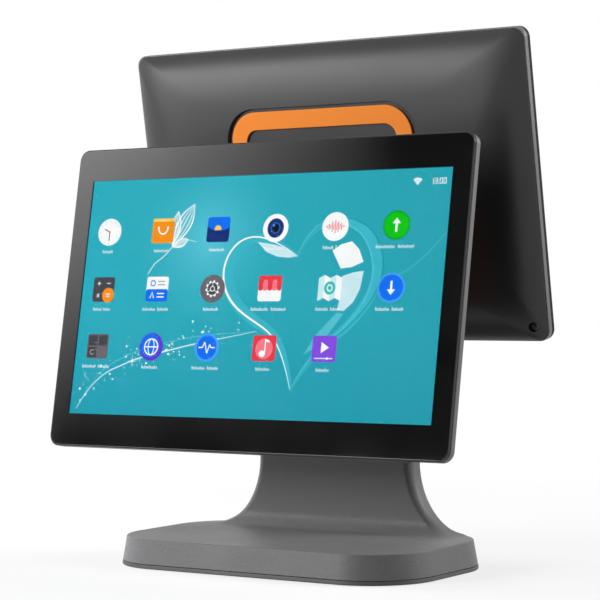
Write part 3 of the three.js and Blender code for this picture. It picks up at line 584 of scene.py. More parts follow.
@dataclass(frozen=True)
class CircuitFinish(Finish):
    """Solder mask with copper tracks showing through it as lighter lines."""

    pitch: float = 5.0

    def colours(self, nodes: Nodes, where: Socket, slow: Socket, fine: Socket) -> Socket:
        """The mask's colour, lighter along a brick pattern of tracks."""
        tracks = nodes.add("TexBrick", {
            "Vector": where,
            "Color1": self.colour,
            "Color2": self.tint(0.85),
            "Mortar": self.tint(2.4),
            "Scale": 1 / (self.pitch * MM),
            "Mortar Size": 0.05,
        })
        return nodes.mix(nodes.remap(slow, 0.3, 0.7, 0, 0.15), tracks.outputs[0], self.colour)


@dataclass(frozen=True)
class GlassFinish(Finish):
    """A clear pane with a coat that takes away most of its reflection, and faint wiped streaks."""

    ior: float = 1.03

    def build(self, nodes: Nodes) -> bpy.types.Material:
        """Builds the clear pane's node tree."""
        streaks = nodes.noise(nodes.place(self.stretch), self.mottle, 4)
        rough = nodes.remap(streaks, 0.3, 0.7, self.roughness, self.roughness + self.spread)
        return nodes.principled(Base_Color=self.colour, Roughness=rough, Transmission_Weight=1.0, IOR=self.ior)


@dataclass(frozen=True)
class InkFinish(Finish):
    """A lit patch of the screen: its own light, slightly uneven as a backlight is."""

    def build(self, nodes: Nodes) -> bpy.types.Material:
        """Builds the lit patch's node tree."""
        slow = nodes.remap(nodes.noise(nodes.place(), self.mottle, 2), 0.35, 0.65, 0, 1)
        return nodes.lit(self.roughness, nodes.mix(slow, self.tint(1 - self.contrast), self.colour))


@dataclass(frozen=True)
class WallpaperFinish(Finish):
    """The lit picture behind the icons: a slow gradient from left to right with one soft glow."""

    right: Colour = srgb(33, 160, 177)
    low: Colour = srgb(24, 146, 170)
    glow: Colour = srgb(92, 200, 220)
    glow_place: tuple[float, float] = (0.36, 0.74)
    glow_reach: float = 0.42
    aspect: float = 1.78

    def build(self, nodes: Nodes) -> bpy.types.Material:
        """Builds the picture: left to right and bottom to top blends, and a glow that fades with distance."""
        where = nodes.add("UVMap", uv_map="picture").outputs[0]
        parts = nodes.add("SeparateXYZ", {0: where}).outputs
        across = nodes.mix(parts[0], self.colour, self.right)
        base = nodes.mix(nodes.remap(parts[1], 0, 0.45, 0.55, 0), across, self.low)
        centred = nodes.add("Mapping", {
            "Vector": where,
            "Location": (-self.glow_place[0] * self.aspect, -self.glow_place[1], 0),
            "Scale": (self.aspect, 1, 1),
        }).outputs[0]
        near = nodes.remap(nodes.length(centred), 0, self.glow_reach, 1, 0)
        soft = nodes.math("MULTIPLY", nodes.math("MULTIPLY", near, near), 0.85)
        clouds = nodes.add("TexNoise", {"Vector": where, "Scale": 3.0, "Detail": 3}).outputs[0]
        uneven = nodes.math("ADD", soft, nodes.remap(clouds, 0.4, 0.75, 0, 0.05))
        return nodes.lit(self.roughness, nodes.mix(uneven, base, self.glow))


CASTING = Finish("sandblasted_casting", "casting", grey(0.14, 1.03), 0.5, mottle=45,
                 contrast=0.05, grain=0.8, grain_contrast=0.2, bump=0.06, edge_wear_and_shade_share=0.3,
                 edge_wear_and_shade=grey(0.36), edge=0.8, specular=0.3)
PLATE_PAINT = Finish("textured_paint", "base_plate", grey(0.05, 1.05), 0.55, grain=0.7, bump=0.05,
                     grain_contrast=0.12, edge_wear_and_shade=grey(0.12))
HOUSING = Finish("moulded_housing", "housing", grey(0.02, 1.05), 0.36, mottle=90, contrast=0.05, grain=0.45,
                 bump=0.006, spread=0.03, edge_wear_and_shade_share=0.4, edge_wear_and_shade=grey(0.06), edge=0.9, specular=0.47)
NECK_PLASTIC = Finish("moulded_neck_cover", "neck_cover", grey(0.075, 1.04), 0.5, grain=0.6, bump=0.02,
                      edge_wear_and_shade=grey(0.15))
PANEL_PLASTIC = Finish("matt_panel", "ring_panel", grey(0.013, 1.07), 0.55, grain=0.7, bump=0.02,
                       edge_wear_and_shade=grey(0.04))
BAND = Finish("anodised_band", "side_band", grey(0.13, 1.02), 0.4, metallic=0.45, mottle=70, contrast=0.05,
              grain=0.5, grain_contrast=0.06, bump=0.006, edge_wear_and_shade_share=0.3, edge_wear_and_shade=grey(0.34), edge=0.4)
BEZEL = Finish("black_bezel", "bezel", grey(0.008, 1.05), 0.34, grain=0.5, bump=0.004, edge_wear_and_shade_share=0.2,
               edge_wear_and_shade=grey(0.03), specular=0.3)
BORDER = Finish("printed_border", "cover_glass", grey(0.0012, 1.1), 0.05, mottle=120, contrast=0.2, grain=2.0,
                grain_contrast=0.1, bump=0.0003, spread=0.02, edge_wear_and_shade_share=0.1, edge_wear_and_shade=grey(0.01), edge=0.3)
PANE = GlassFinish("clear_window", "cover_glass", (0.96, 0.99, 0.99, 1.0), 0.01, mottle=50, spread=0.03,
                   stretch=(0.2, 1.0, 1.0))
# The accent's darker brown edge colour is painted shade on the ring's rounded edges, not wear.
ACCENT = Finish("satin_accent", "accent", srgb(255, 146, 56), 0.42, mottle=50, contrast=0.02, grain=0.5,
                bump=0.006, grain_contrast=0.02, edge_wear_and_shade_share=0.6, edge_wear_and_shade=srgb(190, 98, 34), edge=0.7, specular=0.1)
STEEL = Finish("zinc_steel", "steel", grey(0.5, 1.02), 0.36, metallic=1.0, mottle=12, contrast=0.15, grain=0.8,
               grain_contrast=0.1, bump=0.01, edge_wear_and_shade_share=0.3, edge_wear_and_shade=grey(0.7), stretch=(1, 1, 0.15))
HINGE_STEEL = Finish("black_zinc", "hinge_steel", grey(0.03, 1.06), 0.42, metallic=0.6, mottle=20, contrast=0.2,
                     grain=0.6, bump=0.02, edge_wear_and_shade_share=0.6, edge_wear_and_shade=grey(0.2))
FASTENER = Finish("black_screw", "fastener", grey(0.06, 1.06), 0.36, metallic=0.9, mottle=4, contrast=0.2,
                  grain=0.3, bump=0.006, edge_wear_and_shade_share=0.7, edge_wear_and_shade=grey(0.35), edge=0.25)
BRASS = Finish("turned_brass", "washer", (0.6, 0.43, 0.18, 1.0), 0.32, metallic=1.0, mottle=5, contrast=0.15,
               grain=0.3, bump=0.004, edge_wear_and_shade=(0.8, 0.65, 0.35, 1.0))
RUBBER = Finish("matt_rubber", "rubber", grey(0.013), 0.85, grain=0.5, bump=0.03, spread=0.05,
                edge_wear_and_shade=grey(0.06))
SOCKET_BLACK = Finish("socket_plastic", "socket_black", grey(0.016, 1.05), 0.5, grain=0.4, bump=0.008,
                      edge_wear_and_shade=grey(0.06), edge=0.2)
SOCKET_METAL = Finish("tin_plate", "socket_metal", grey(0.5, 1.02), 0.3, metallic=1.0, mottle=8, grain=0.3,
                      bump=0.004, edge_wear_and_shade=grey(0.7), edge=0.2)
SPEAKER_PLASTIC = Finish("speaker_plastic", "speaker", grey(0.02), 0.5, edge_wear_and_shade=grey(0.05))
BUTTON_PLASTIC = Finish("button_plastic", "button", grey(0.03, 1.05), 0.4, grain=0.3, bump=0.006,
                        edge_wear_and_shade=grey(0.1), edge=0.3)
CIRCUIT = CircuitFinish("circuit_board", "circuit_board", (0.02, 0.12, 0.05, 1.0), 0.4, edge_wear_and_shade_share=0.1)
CELL = Finish("panel_backing", "screen", grey(0.2, 1.03), 0.4, metallic=0.6, edge_wear_and_shade=grey(0.4))
GOLD = Finish("gold_contact", "socket_metal", (0.75, 0.5, 0.16, 1.0), 0.22, metallic=1.0, mottle=3, grain=0.3,
              bump=0.002, edge_wear_and_shade=(0.9, 0.7, 0.35, 1.0), edge=0.1)
WALLPAPER = WallpaperFinish("wallpaper", "screen", srgb(36, 172, 192), 0.4)
QUIET_WALLPAPER = WallpaperFinish("customer_wallpaper", "screen", srgb(30, 96, 140), 0.4,
                                  right=srgb(24, 70, 120), low=srgb(14, 48, 92), glow=srgb(70, 150, 190))


class Ink(Enum):
    """The colours of the lit icons and lines on the screens."""

    WHITE = srgb(252, 252, 252)
    MIST = srgb(206, 236, 242)
    HAZE = srgb(86, 192, 208)
    VEIL = srgb(56, 182, 202)
    SHADE = srgb(24, 150, 168)
    AZURE = srgb(8, 112, 244)
    SKY = srgb(70, 158, 250)
    DEEP = srgb(16, 46, 122)
    NAVY = srgb(26, 62, 128)
    INDIGO = srgb(44, 96, 190)
    RED = srgb(238, 58, 74)
    ROSE = srgb(250, 120, 132)
    GREEN = srgb(4, 200, 12)
    LEAF = srgb(4, 164, 16)
    ORANGE = srgb(250, 146, 20)
    AMBER = srgb(255, 204, 96)
    TAUPE = srgb(108, 102, 108)
    SLATE = srgb(70, 70, 76)
    BLACK = srgb(20, 22, 30)
    SILVER = srgb(176, 180, 186)
    PURPLE = srgb(134, 74, 226)
    VIOLET = srgb(92, 60, 214)
    TEAL = srgb(60, 196, 190)

    def finish(self) -> Finish:
        """The lit finish of this ink."""
        return InkFinish(f"ink_{self.name.lower()}", "screen", self.value, 0.4, contrast=0.06, mottle=14)


# ---- Lit screen drawings ----

SEGMENTS_OF = {
    "0": "abcdef", "1": "fe", "2": "abged", "3": "abgcd", "4": "fgbc", "5": "afgcd", "6": "afgedc", "7": "abc",
    "8": "abcdefg", "9": "abcdfg",
}


@dataclass
class Sketch:
    """Flat shapes on a screen, in millimetres from an origin that can be moved, kept by ink and by layer."""

    origin: tuple[float, float] = (0.0, 0.0)
    shapes: dict[Ink, list[tuple[int, Array]]] = field(default_factory=dict)

    def polygon(self, ink: Ink, layer: int, points: Array) -> None:
        """Adds an outline that doesn't cross itself."""
        self.shapes.setdefault(ink, []).append((layer, np.asarray(points, float) + self.origin))

    def disc(self, ink: Ink, layer: int, x: float, y: float, rx: float, ry: float | None = None) -> None:
        """Adds an ellipse about x and y."""
        count = int(np.clip(12 + 4 * rx, 12, 72))
        self.polygon(ink, layer, oval((x, y), rx, ry or rx, full_turn(count)))

    def box(self, ink: Ink, layer: int, x: float, y: float, half_w: float, half_h: float,
            corner: float = 0.2) -> None:
        """Adds a rounded rectangle."""
        self.polygon(ink, layer, outlines(half_w, half_h, corner, 5)[0] + (x, y))

    def stroke(self, ink: Ink, layer: int, path: Array, width: Array | float) -> None:
        """Adds a band along a path: its points shifted by half the width across the path on each side.

        Args:
            ink: The band's ink.
            layer: Its layer.
            path: Its middle line.
            width: Its width, or one for each point of the path.
        """
        path = np.asarray(path, float)
        way = np.gradient(path, axis=0)
        across = np.stack([-way[:, 1], way[:, 0]], -1) / np.linalg.norm(way, axis=1, keepdims=True)
        shift = across * np.broadcast_to(np.asarray(width, float) / 2, len(path))[:, None]
        self.polygon(ink, layer, np.concatenate([path + shift, (path - shift)[::-1]]))

    def spokes(self, ink: Ink, layer: int, degrees: Iterable[float], start: float, end: float,
               width: float) -> None:
        """Adds straight bands that point away from the origin, between two distances from it."""
        for turn in np.radians(list(degrees)):
            way = np.array([math.cos(turn), math.sin(turn)])
            self.stroke(ink, layer, [way * start, way * end], width)

    def arc(self, ink: Ink, layer: int, x: float, y: float, rx: float, ry: float, start: float, end: float,
            width: float) -> None:
        """Adds a band along part of an ellipse, between two angles in degrees."""
        angle = np.radians(np.linspace(start, end, max(int(abs(end - start) / 6), 8)))
        self.stroke(ink, layer, oval((x, y), rx, ry, angle), width)

    def ring(self, ink: Ink, layer: int, x: float, y: float, rx: float, ry: float, width: float) -> None:
        """Adds a closed band as two half turns."""
        self.arc(ink, layer, x, y, rx, ry, 0, 180, width)
        self.arc(ink, layer, x, y, rx, ry, 180, 360, width)

    def digits(self, ink: Ink, layer: int, text: str, x: float, y: float, height: float) -> None:
        """Adds seven-segment numbers, from their left end and middle height. A one, a colon and a point have no
        width of their own.
        """
        half, width, line, gap = height / 2, height * 0.5, height * 0.13, height * 0.3
        strokes = {
            "a": [(0, half), (width, half)], "b": [(width, half), (width, 0)], "c": [(width, 0), (width, -half)],
            "d": [(0, -half), (width, -half)], "e": [(0, 0), (0, -half)], "f": [(0, half), (0, 0)],
            "g": [(0, 0), (width, 0)],
        }
        for mark in text:
            for name in SEGMENTS_OF.get(mark, ""):
                ends = np.array(strokes[name]) + (x, y)
                reach = np.abs(ends[1] - ends[0]) / 2 + line / 2
                self.box(ink, layer, *ends.mean(0), *reach, line * 0.2)
            for rise in {":": (-half / 2, half / 2), ".": (-half,)}.get(mark, ()):
                self.box(ink, layer, x, y + rise, line * 0.6, line * 0.6, line * 0.2)
            x += gap if mark in "1:." else width + gap

    def forms(self, front: float, pitch: float, thickness: float) -> list[tuple[Ink, Form]]:
        """Makes one form for each ink.

        Args:
            front: Depth of the picture's face, on which layer 1 lies.
            pitch: Depth from one layer to the next.
            thickness: Thickness of a shape.

        Returns:
            Each ink with its form.
        """
        made = []
        for ink, shapes in self.shapes.items():
            points, faces, count = [], [], 0
            for layer, flat in shapes:
                size, face = len(flat), front - layer * pitch
                ring, after = np.arange(size), (np.arange(size) + 1) % size
                points += [along(Axis.Y, flat, face), along(Axis.Y, flat, face + thickness)]
                turn = np.sum(flat[:, 0] * np.roll(flat[:, 1], -1) - np.roll(flat[:, 0], -1) * flat[:, 1])
                faces_here = [ring, size + ring[::-1]]
                faces_here += list(np.stack([after, ring, size + ring, size + after], -1))
                faces += [(f[::-1] if turn < 0 else f) + count for f in faces_here]
                count += 2 * size
            made.append((ink, Form(np.concatenate(points), [f.tolist() for f in faces])))
        return made


def sweep(knots: Sequence[tuple[float, float]], count: int = 90) -> Array:
    """A smooth path near its knots: even steps along the straight path, averaged under a raised cosine.

    Args:
        knots: Points that the straight path joins.
        count: Points on the smooth path.

    Returns:
        The smooth path's points.
    """
    knots = np.asarray(knots, float)
    at = np.concatenate([[0], np.cumsum(np.linalg.norm(np.diff(knots, axis=0), axis=1))])
    s, reach = np.linspace(0, at[-1], count), count // 12
    path = np.stack([np.interp(s, at, knots[:, 0]), np.interp(s, at, knots[:, 1])], -1)
    kernel = np.hanning(2 * reach + 1) / np.hanning(2 * reach + 1).sum()
    padded = np.concatenate([2 * path[0] - path[reach:0:-1], path, 2 * path[-1] - path[-2:-reach - 2:-1]])
    return np.stack([np.convolve(c, kernel, "valid") for c in padded.T], -1)


@dataclass
class HomeScreen:
    """The cashier's lit picture: rows of generic icons over a plain wallpaper with curved bands."""

    columns: tuple[float, ...] = (-150.0, -94.7, -39.4, 15.9, 71.6, 126.7)
    rows: tuple[float, ...] = (53.8, 5.9, -41.2)
    round_half: tuple[float, float] = (12.0, 11.3)
    square_half: tuple[float, float] = (11.0, 10.2)
    label_drop: float = 16.5
    label_width: tuple[tuple[float, ...], ...] = (
        (11, 15, 15, 17, 20, 34), (18, 26, 15, 33, 23, 25), (28, 16, 26, 13, 12))
    sparkles: int = 110
    seed: int = 7

    def draw(self) -> Sketch:
        """Draws the whole picture."""
        sketch = Sketch()
        self.bands(sketch)
        self.light_trail(sketch)
        self.flourish(sketch)
        self.status(sketch)
        icons = ((self.clock, self.bag, self.picture, self.lens, self.wave, self.up),
                 (self.calculator, self.cards, self.gear, self.awning, self.book, self.down),
                 (self.windows, self.globe, self.pulse, self.note, self.play))
        for y, row, widths in zip(self.rows, icons, self.label_width, strict=True):
            for x, icon, width in zip(self.columns, row, widths, strict=False):
                sketch.origin = (x, y)
                icon(sketch)
                self.label(sketch, width)
        return sketch

    def plate(self, sketch: Sketch, ink: Ink) -> None:
        """A square icon's ground."""
        sketch.box(ink, 4, 0, 0, *self.square_half, 2.2)

    def coin(self, sketch: Sketch, ink: Ink) -> None:
        """A round icon's ground."""
        sketch.disc(ink, 4, 0, 0, *self.round_half)

    def label(self, sketch: Sketch, width: float) -> None:
        """A line of stand-in text: short words of thin upright marks, some of them taller."""
        words = [width] if width < 17 else [width * 0.5, width * 0.42]
        start, low = -width / 2, -1.1
        for word in words:
            marks = max(round(word), 3)
            step = word / marks
            for i in range(marks):
                high = 1.9 if i == 0 else 1.7 if i % 5 == 3 else 0.7
                sketch.box(Ink.WHITE, 4, start + (i + 0.5) * step, (low + high) / 2 - self.label_drop, step * 0.2,
                           (high - low) / 2, 0.1)
                if i % 2:
                    rise = 0.55 if i % 4 == 1 else -0.95
                    sketch.box(Ink.WHITE, 5, start + i * step, rise - self.label_drop, step * 0.5, 0.13, 0.05)
            start += word + width * 0.08

    def bands(self, sketch: Sketch) -> None:
        """Two wide curved bands that meet at a notch and at a point, with patches of light on the right one."""
        left = sweep([(39, 31), (28, 38), (18, 42), (8, 46), (-1, 48), (-12, 47), (-21, 42), (-28, 33), (-31, 23),
                      (-30, 11), (-24, -1), (-13, -11), (3, -20), (19, -28), (28, -38), (34, -49), (39, -60),
                      (43.5, -73)], 120)
        right = sweep([(39, 31), (46, 44), (56, 55), (70, 61), (87, 60), (106, 50), (117, 30), (117, 12),
                       (109, -5), (92, -24), (71, -38), (54, -58), (44.5, -73)], 120)
        fade = np.sin(np.pi * np.linspace(0.04, 0.96, len(left)))
        bright = np.interp(np.linspace(0, 1, len(left)), (0, 0.25, 0.5, 0.75, 1), (0.5, 1.3, 2.0, 1.3, 0.35))
        for ink, layer, path, shift, width in (
                (Ink.VEIL, 1, left, (5.5, -2.0), 1 + 9 * fade),
                (Ink.WHITE, 3, left, (0, 0), bright),
                (Ink.VEIL, 1, right, (-3.5, -2.0), 1 + 8 * fade),
                (Ink.SHADE, 2, right, (1.2, 0.5), 0.2 + 0.9 * fade),
                (Ink.HAZE, 2, right, (-7.5, -3.8), 0.2 + 1.2 * fade)):
            sketch.stroke(ink, layer, path + np.outer(fade, shift), width)
        for ink, corners in (
                (Ink.MIST, ((0, 43), (14, 41), (27, 38), (38, 31), (31, 30), (20, 31), (9, 35))),
                (Ink.WHITE, ((71, 35), (79, 40), (88, 42), (95, 36), (100, 26), (90, 22), (80, 21))),
                (Ink.MIST, ((82, 15), (92, 18), (101, 19), (99, 5), (94, -5), (86, -12), (80, -11), (82, 0))),
                (Ink.HAZE, ((80, -13), (86, -14), (74, -30), (60, -42), (53, -46), (62, -31)))):
            sketch.polygon(ink, 3, corners)
        gleam = np.linspace(0, 1, 30)[:, None]
        bow = 4 * gleam * (1 - gleam) * (0, -7)
        sketch.stroke(Ink.HAZE, 2, (1 - gleam) * (118, 12) + gleam * (169, 46) + bow, 0.5)

    def light_trail(self, sketch: Sketch) -> None:
        """A thin trail of light that sweeps in from the lower left, with seeded specks round it and a star."""
        path = sweep([(-166, -93), (-155, -76), (-140, -63), (-109, -51), (-55, -39), (7, -28)])
        fade = np.sin(np.pi * np.linspace(0.08, 0.98, len(path)))
        sketch.stroke(Ink.MIST, 2, path, 0.25 + 0.9 * fade)
        lift = 7 * np.sin(np.pi * np.linspace(0, 1, len(path)))
        sketch.stroke(Ink.HAZE, 2, path + np.outer(lift, (0, 1)), 0.2 + 0.7 * fade)
        random = np.random.default_rng(self.seed)
        index = (random.beta(1.6, 1.8, self.sparkles) * (len(path) - 1)).astype(int)
        shift = random.normal(0, 1, (self.sparkles, 2)) * (6, 8) + (0, 2.5)
        size = 0.3 + 0.75 * random.random(self.sparkles) ** 3
        for (x, y), radius in zip(path[index] + shift, size, strict=True):
            if x > -170 and y > -95:
                sketch.disc(Ink.WHITE, 3, x, y, radius)
        point = np.arange(16)
        reach = np.where(point % 4 == 0, 5.5, np.where(point % 2 == 0, 1.6, 0.7))
        sketch.polygon(Ink.WHITE, 3, oval((-112.6, -53), reach, reach, full_turn(16)))
        sketch.disc(Ink.WHITE, 3, -102, -46, 2.6)

    def flourish(self, sketch: Sketch) -> None:
        """Three veined petals and two curled lines beside the second icon. A petal's half width is half its
        width times the sine of pi times the share of its length.
        """
        foot, t = (-84, 40), np.linspace(0, 1, 24)
        for degrees, length, width in ((62, 40, 13), (84, 30, 9), (22, 17, 6)):
            turn = math.radians(degrees)
            across = (-math.sin(turn), math.cos(turn))
            half = np.sin(np.pi * t ** 1.2) * width / 2
            spine = foot + np.outer(t * length, (math.cos(turn), math.sin(turn)))
            sketch.stroke(Ink.HAZE, 2, spine, 2 * half + 0.1)
            for side, line in ((-1, 1.1), (1, 1.1), (-0.55, 0.5), (0.5, 0.5), (0, 0.6)):
                sketch.stroke(Ink.WHITE, 3, spine + np.outer(side * half, across), 0.2 + line * np.sin(np.pi * t))
        sketch.stroke(Ink.WHITE, 3, sweep([foot, (-92, 32), (-100, 27), (-106, 18)], 24), 0.6)
        sketch.stroke(Ink.MIST, 3, sweep([foot, (-76, 41), (-68, 46), (-60, 44)], 24), 0.5)

    def status(self, sketch: Sketch) -> None:
        """Signal arcs and a clock in the upper right corner."""
        place = (141.9, 84.2)
        fan = oval(place, 5.6, 5.6, np.radians(np.linspace(45, 135, 12)))
        sketch.polygon(Ink.WHITE, 4, np.concatenate([[place], fan]))
        for radius in (2.2, 3.9):
            sketch.arc(Ink.VEIL, 5, *place, radius, radius, 45, 135, 0.45)
        sketch.digits(Ink.WHITE, 4, "13:00", 155.6, 86.8, 4.1)

    def clock(self, sketch: Sketch) -> None:
        """A white dial with two hands and hour marks."""
        self.coin(sketch, Ink.WHITE)
        sketch.spokes(Ink.SILVER, 5, range(0, 360, 30), 9.2, 10.4, 0.5)
        sketch.stroke(Ink.BLACK, 6, [(0, -7.5), (0, 1)], 0.8)
        sketch.stroke(Ink.BLACK, 6, [(-5.5, 2.6), (0.8, -0.4)], 0.8)
        sketch.disc(Ink.ORANGE, 7, 0, 0, 1.0)

    def bag(self, sketch: Sketch) -> None:
        """A shopping bag with a handle."""
        self.plate(sketch, Ink.ORANGE)
        sketch.box(Ink.AMBER, 5, 0, 8.8, 10.8, 1.3, 1.0)
        sketch.arc(Ink.WHITE, 6, 0, 2.2, 4.6, 4.8, 180, 360, 1.2)
        for x in (-4.6, 4.6):
            sketch.disc(Ink.WHITE, 6, x, 2.6, 1.0)

    def picture(self, sketch: Sketch) -> None:
        """A low sun over dark hills."""
        self.plate(sketch, Ink.AZURE)
        sketch.disc(Ink.AMBER, 5, -0.5, 0.2, 3.3)
        sketch.box(Ink.DEEP, 6, 0, -5.4, 11.0, 4.8, 2.0)
        sketch.polygon(Ink.DEEP, 6, [(-11, -5), (11, -5), (11, 1.5), (5, -0.8), (-4, -0.6), (-11, 2.6)])

    def lens(self, sketch: Sketch) -> None:
        """A camera lens of nested rings."""
        self.coin(sketch, Ink.WHITE)
        for layer, ink, radius in (
                (5, Ink.SLATE, 7.8), (6, Ink.DEEP, 7.2), (7, Ink.INDIGO, 4.6), (8, Ink.BLACK, 3.6)):
            sketch.disc(ink, layer, 0, 0, radius)
        sketch.disc(Ink.SKY, 9, -1.8, 2.2, 1.0)

    def wave(self, sketch: Sketch) -> None:
        """Sound bars on a white coin."""
        self.coin(sketch, Ink.WHITE)
        for i, half in enumerate((0.5, 1.2, 2.6, 1.6, 4.2, 2.4, 5.4, 3.0, 4.4, 2.0, 2.8, 1.0, 0.5)):
            sketch.box(Ink.RED, 5, (i - 6) * 1.4, 0, 0.34, half, 0.3)

    def up(self, sketch: Sketch, turn: int = 1, ground: Ink = Ink.GREEN, rim: Ink = Ink.LEAF) -> None:
        """A thin white arrow on a rimmed coin, up or down."""
        self.coin(sketch, rim)
        sketch.disc(ground, 5, 0, 0, *(half - 1.3 for half in self.round_half))
        arrow = np.array([(0, 5.6), (-3.6, 1.4), (-0.9, 1.4), (-0.9, -5.2), (0.9, -5.2), (0.9, 1.4), (3.6, 1.4)])
        sketch.polygon(Ink.WHITE, 6, arrow * (1, turn))

    def down(self, sketch: Sketch) -> None:
        """A white arrow down on a blue coin."""
        self.up(sketch, -1, Ink.AZURE, Ink.SKY)

    def calculator(self, sketch: Sketch) -> None:
        """Four keys, one of them coloured."""
        self.plate(sketch, Ink.SLATE)
        sketch.disc(Ink.ORANGE, 5, 5.2, -4.8, 6.2)
        sketch.box(Ink.WHITE, 6, -5.2, 5, 1.9, 0.3, 0.1)
        sketch.box(Ink.WHITE, 7, -5.2, 5, 0.3, 1.9, 0.1)
        sketch.box(Ink.WHITE, 6, 5.0, 5, 1.9, 0.3, 0.1)
        for rise in (1.0, -1.0):
            sketch.stroke(Ink.WHITE, 6, [(-6.6, -5 - 1.5 * rise), (-3.8, -5 + 1.5 * rise)], 0.6)
            sketch.box(Ink.WHITE, 6, 5.2, -4.8 + rise, 2.2, 0.35, 0.1)

    def cards(self, sketch: Sketch) -> None:
        """A pale card of marks over a coloured one."""
        self.plate(sketch, Ink.WHITE)
        sketch.box(Ink.AZURE, 5, 0, -5.1, 11.0, 5.1, 2.0)
        sketch.ring(Ink.AZURE, 6, -4.6, 4.8, 2.2, 2.2, 0.9)
        sketch.stroke(Ink.WHITE, 6, [(-6.4, -7.4), (-4.6, -2.4), (-2.8, -7.4)], 0.9)
        for rise, ink in ((6.2, Ink.SILVER), (3.6, Ink.SILVER), (-3.6, Ink.WHITE), (-6.4, Ink.WHITE)):
            sketch.box(ink, 6, 3.8, rise, 3.6, 0.5, 0.3)

    def gear(self, sketch: Sketch) -> None:
        """A toothed wheel."""
        self.coin(sketch, Ink.TAUPE)
        angle = full_turn(96)
        radius = 6.2 + 0.7 * np.clip(3 * np.sin(10 * angle), -1, 1)
        sketch.polygon(Ink.WHITE, 5, oval((0, 0), radius, radius, angle))
        sketch.disc(Ink.SLATE, 6, 0, 0, 5.0)
        sketch.ring(Ink.WHITE, 7, 0, 0, 2.0, 2.0, 0.7)
        sketch.spokes(Ink.WHITE, 8, (90, 210, 330), 2.2, 5.2, 0.55)

    def awning(self, sketch: Sketch) -> None:
        """A white shop front with a striped awning."""
        self.plate(sketch, Ink.WHITE)
        sketch.box(Ink.RED, 5, 0, 7.2, 11.0, 3.0, 1.8)
        for i in range(-2, 3):
            sketch.box(Ink.ROSE if i % 2 else Ink.RED, 6, i * 4.4, 2.6, 2.2, 4.4, 1.9)

    def book(self, sketch: Sketch) -> None:
        """A folded guide with a round mark."""
        page = 5.3
        for i, ink in enumerate((Ink.MIST, Ink.WHITE, Ink.MIST, Ink.WHITE)):
            left, lean = (i - 2) * page, 1.2 if i % 2 else -1.2
            sketch.polygon(ink, 4, [(left, -9 + lean), (left + page, -9 - lean), (left + page, 9 - lean),
                                    (left, 9 + lean)])
        sketch.disc(Ink.TEAL, 5, 0, 0, 5.2)
        sketch.ring(Ink.WHITE, 6, 0, 0, 2.2, 2.4, 0.8)

    def windows(self, sketch: Sketch) -> None:
        """Grey tiles."""
        self.plate(sketch, Ink.TAUPE)
        for x, y in ((-5.2, 4.8), (5.2, 4.8), (-5.2, -4.8)):
            sketch.box(Ink.SLATE, 5, x, y, 4.6, 4.2, 0.5)
        sketch.arc(Ink.SILVER, 6, -5.2, -4.8, 2.0, 1.9, 40, 320, 0.6)

    def globe(self, sketch: Sketch) -> None:
        """A globe of four lines."""
        self.coin(sketch, Ink.VIOLET)
        sketch.disc(Ink.AZURE, 5, -1.4, 1.0, 9.4)
        sketch.ring(Ink.WHITE, 6, 0, 0, 6.6, 6.4, 1.1)
        sketch.ring(Ink.WHITE, 7, 0, 0, 2.9, 6.4, 0.8)
        sketch.box(Ink.WHITE, 8, 0, 0, 6.4, 0.45, 0.2)

    def pulse(self, sketch: Sketch) -> None:
        """A pulse line."""
        self.coin(sketch, Ink.SKY)
        sketch.disc(Ink.AZURE, 5, 0, 0, 9.6)
        line = ((-8, 0), (-4, 0), (-2.2, 4.4), (0.6, -4.6), (2.8, 2.4), (4.2, 0), (8, 0))
        for ends in zip(line[:-1], line[1:], strict=True):
            sketch.stroke(Ink.WHITE, 6, ends, 0.9)

    def note(self, sketch: Sketch) -> None:
        """A music note."""
        self.plate(sketch, Ink.RED)
        sketch.disc(Ink.ROSE, 5, 0, -0.5, 8.2)
        sketch.disc(Ink.WHITE, 6, -1.6, -4.4, 3.0, 2.6)
        sketch.box(Ink.WHITE, 7, 0.9, 1.4, 0.5, 6.0, 0.2)
        sketch.polygon(Ink.WHITE, 8, [(0.6, 7.4), (4.6, 6.0), (4.6, 4.2), (0.6, 5.6)])

    def play(self, sketch: Sketch) -> None:
        """A play mark over a thin line."""
        self.plate(sketch, Ink.PURPLE)
        sketch.polygon(Ink.WHITE, 5, [(-2.8, 5.4), (-2.8, -3.4), (4.4, 1.0)])
        sketch.box(Ink.MIST, 5, 0, -7.4, 8.4, 0.45, 0.2)
        sketch.disc(Ink.WHITE, 6, 3.4, -7.4, 1.0)


@dataclass
class PriceScreen:
    """The customer's lit picture: a list of stand-in lines, plain numbers and a total."""

    prices: tuple[str, ...] = ("3.20", "12.50", "0.95", "7.40", "4.10")
    total: str = "28.15"
    top: float = 62.0
    pitch: float = 19.0
    left: float = -152.0

    def draw(self) -> Sketch:
        """Draws the list and its total."""
        sketch = Sketch()
        for x, half_w in ((-62, 98), (106, 54)):
            sketch.box(Ink.NAVY, 1, x, 8, half_w, 74, 6)
        for i, price in enumerate(self.prices):
            y, half_w = self.top - i * self.pitch, 18 + 5 * (i % 3)
            sketch.disc(Ink.SKY, 2, self.left + 6, y, 4.2)
            sketch.box(Ink.MIST, 2, self.left + 16 + half_w, y, half_w, 1.4, 1.0)
            sketch.digits(Ink.WHITE, 2, price, 4, y, 6.0)
            sketch.box(Ink.INDIGO, 2, -62, y - self.pitch / 2, 90, 0.25, 0.1)
        sketch.box(Ink.MIST, 2, 106, 56, 22, 1.8, 1.2)
        sketch.digits(Ink.WHITE, 2, self.total, 70, 34, 20.0)
        sketch.box(Ink.GREEN, 2, 106, -28, 40, 12, 6)
        sketch.stroke(Ink.WHITE, 3, [(96, -28), (103, -34), (117, -21)], 3.0)
        return sketch


# ---- Hinges, fasteners and CAD nodes ----


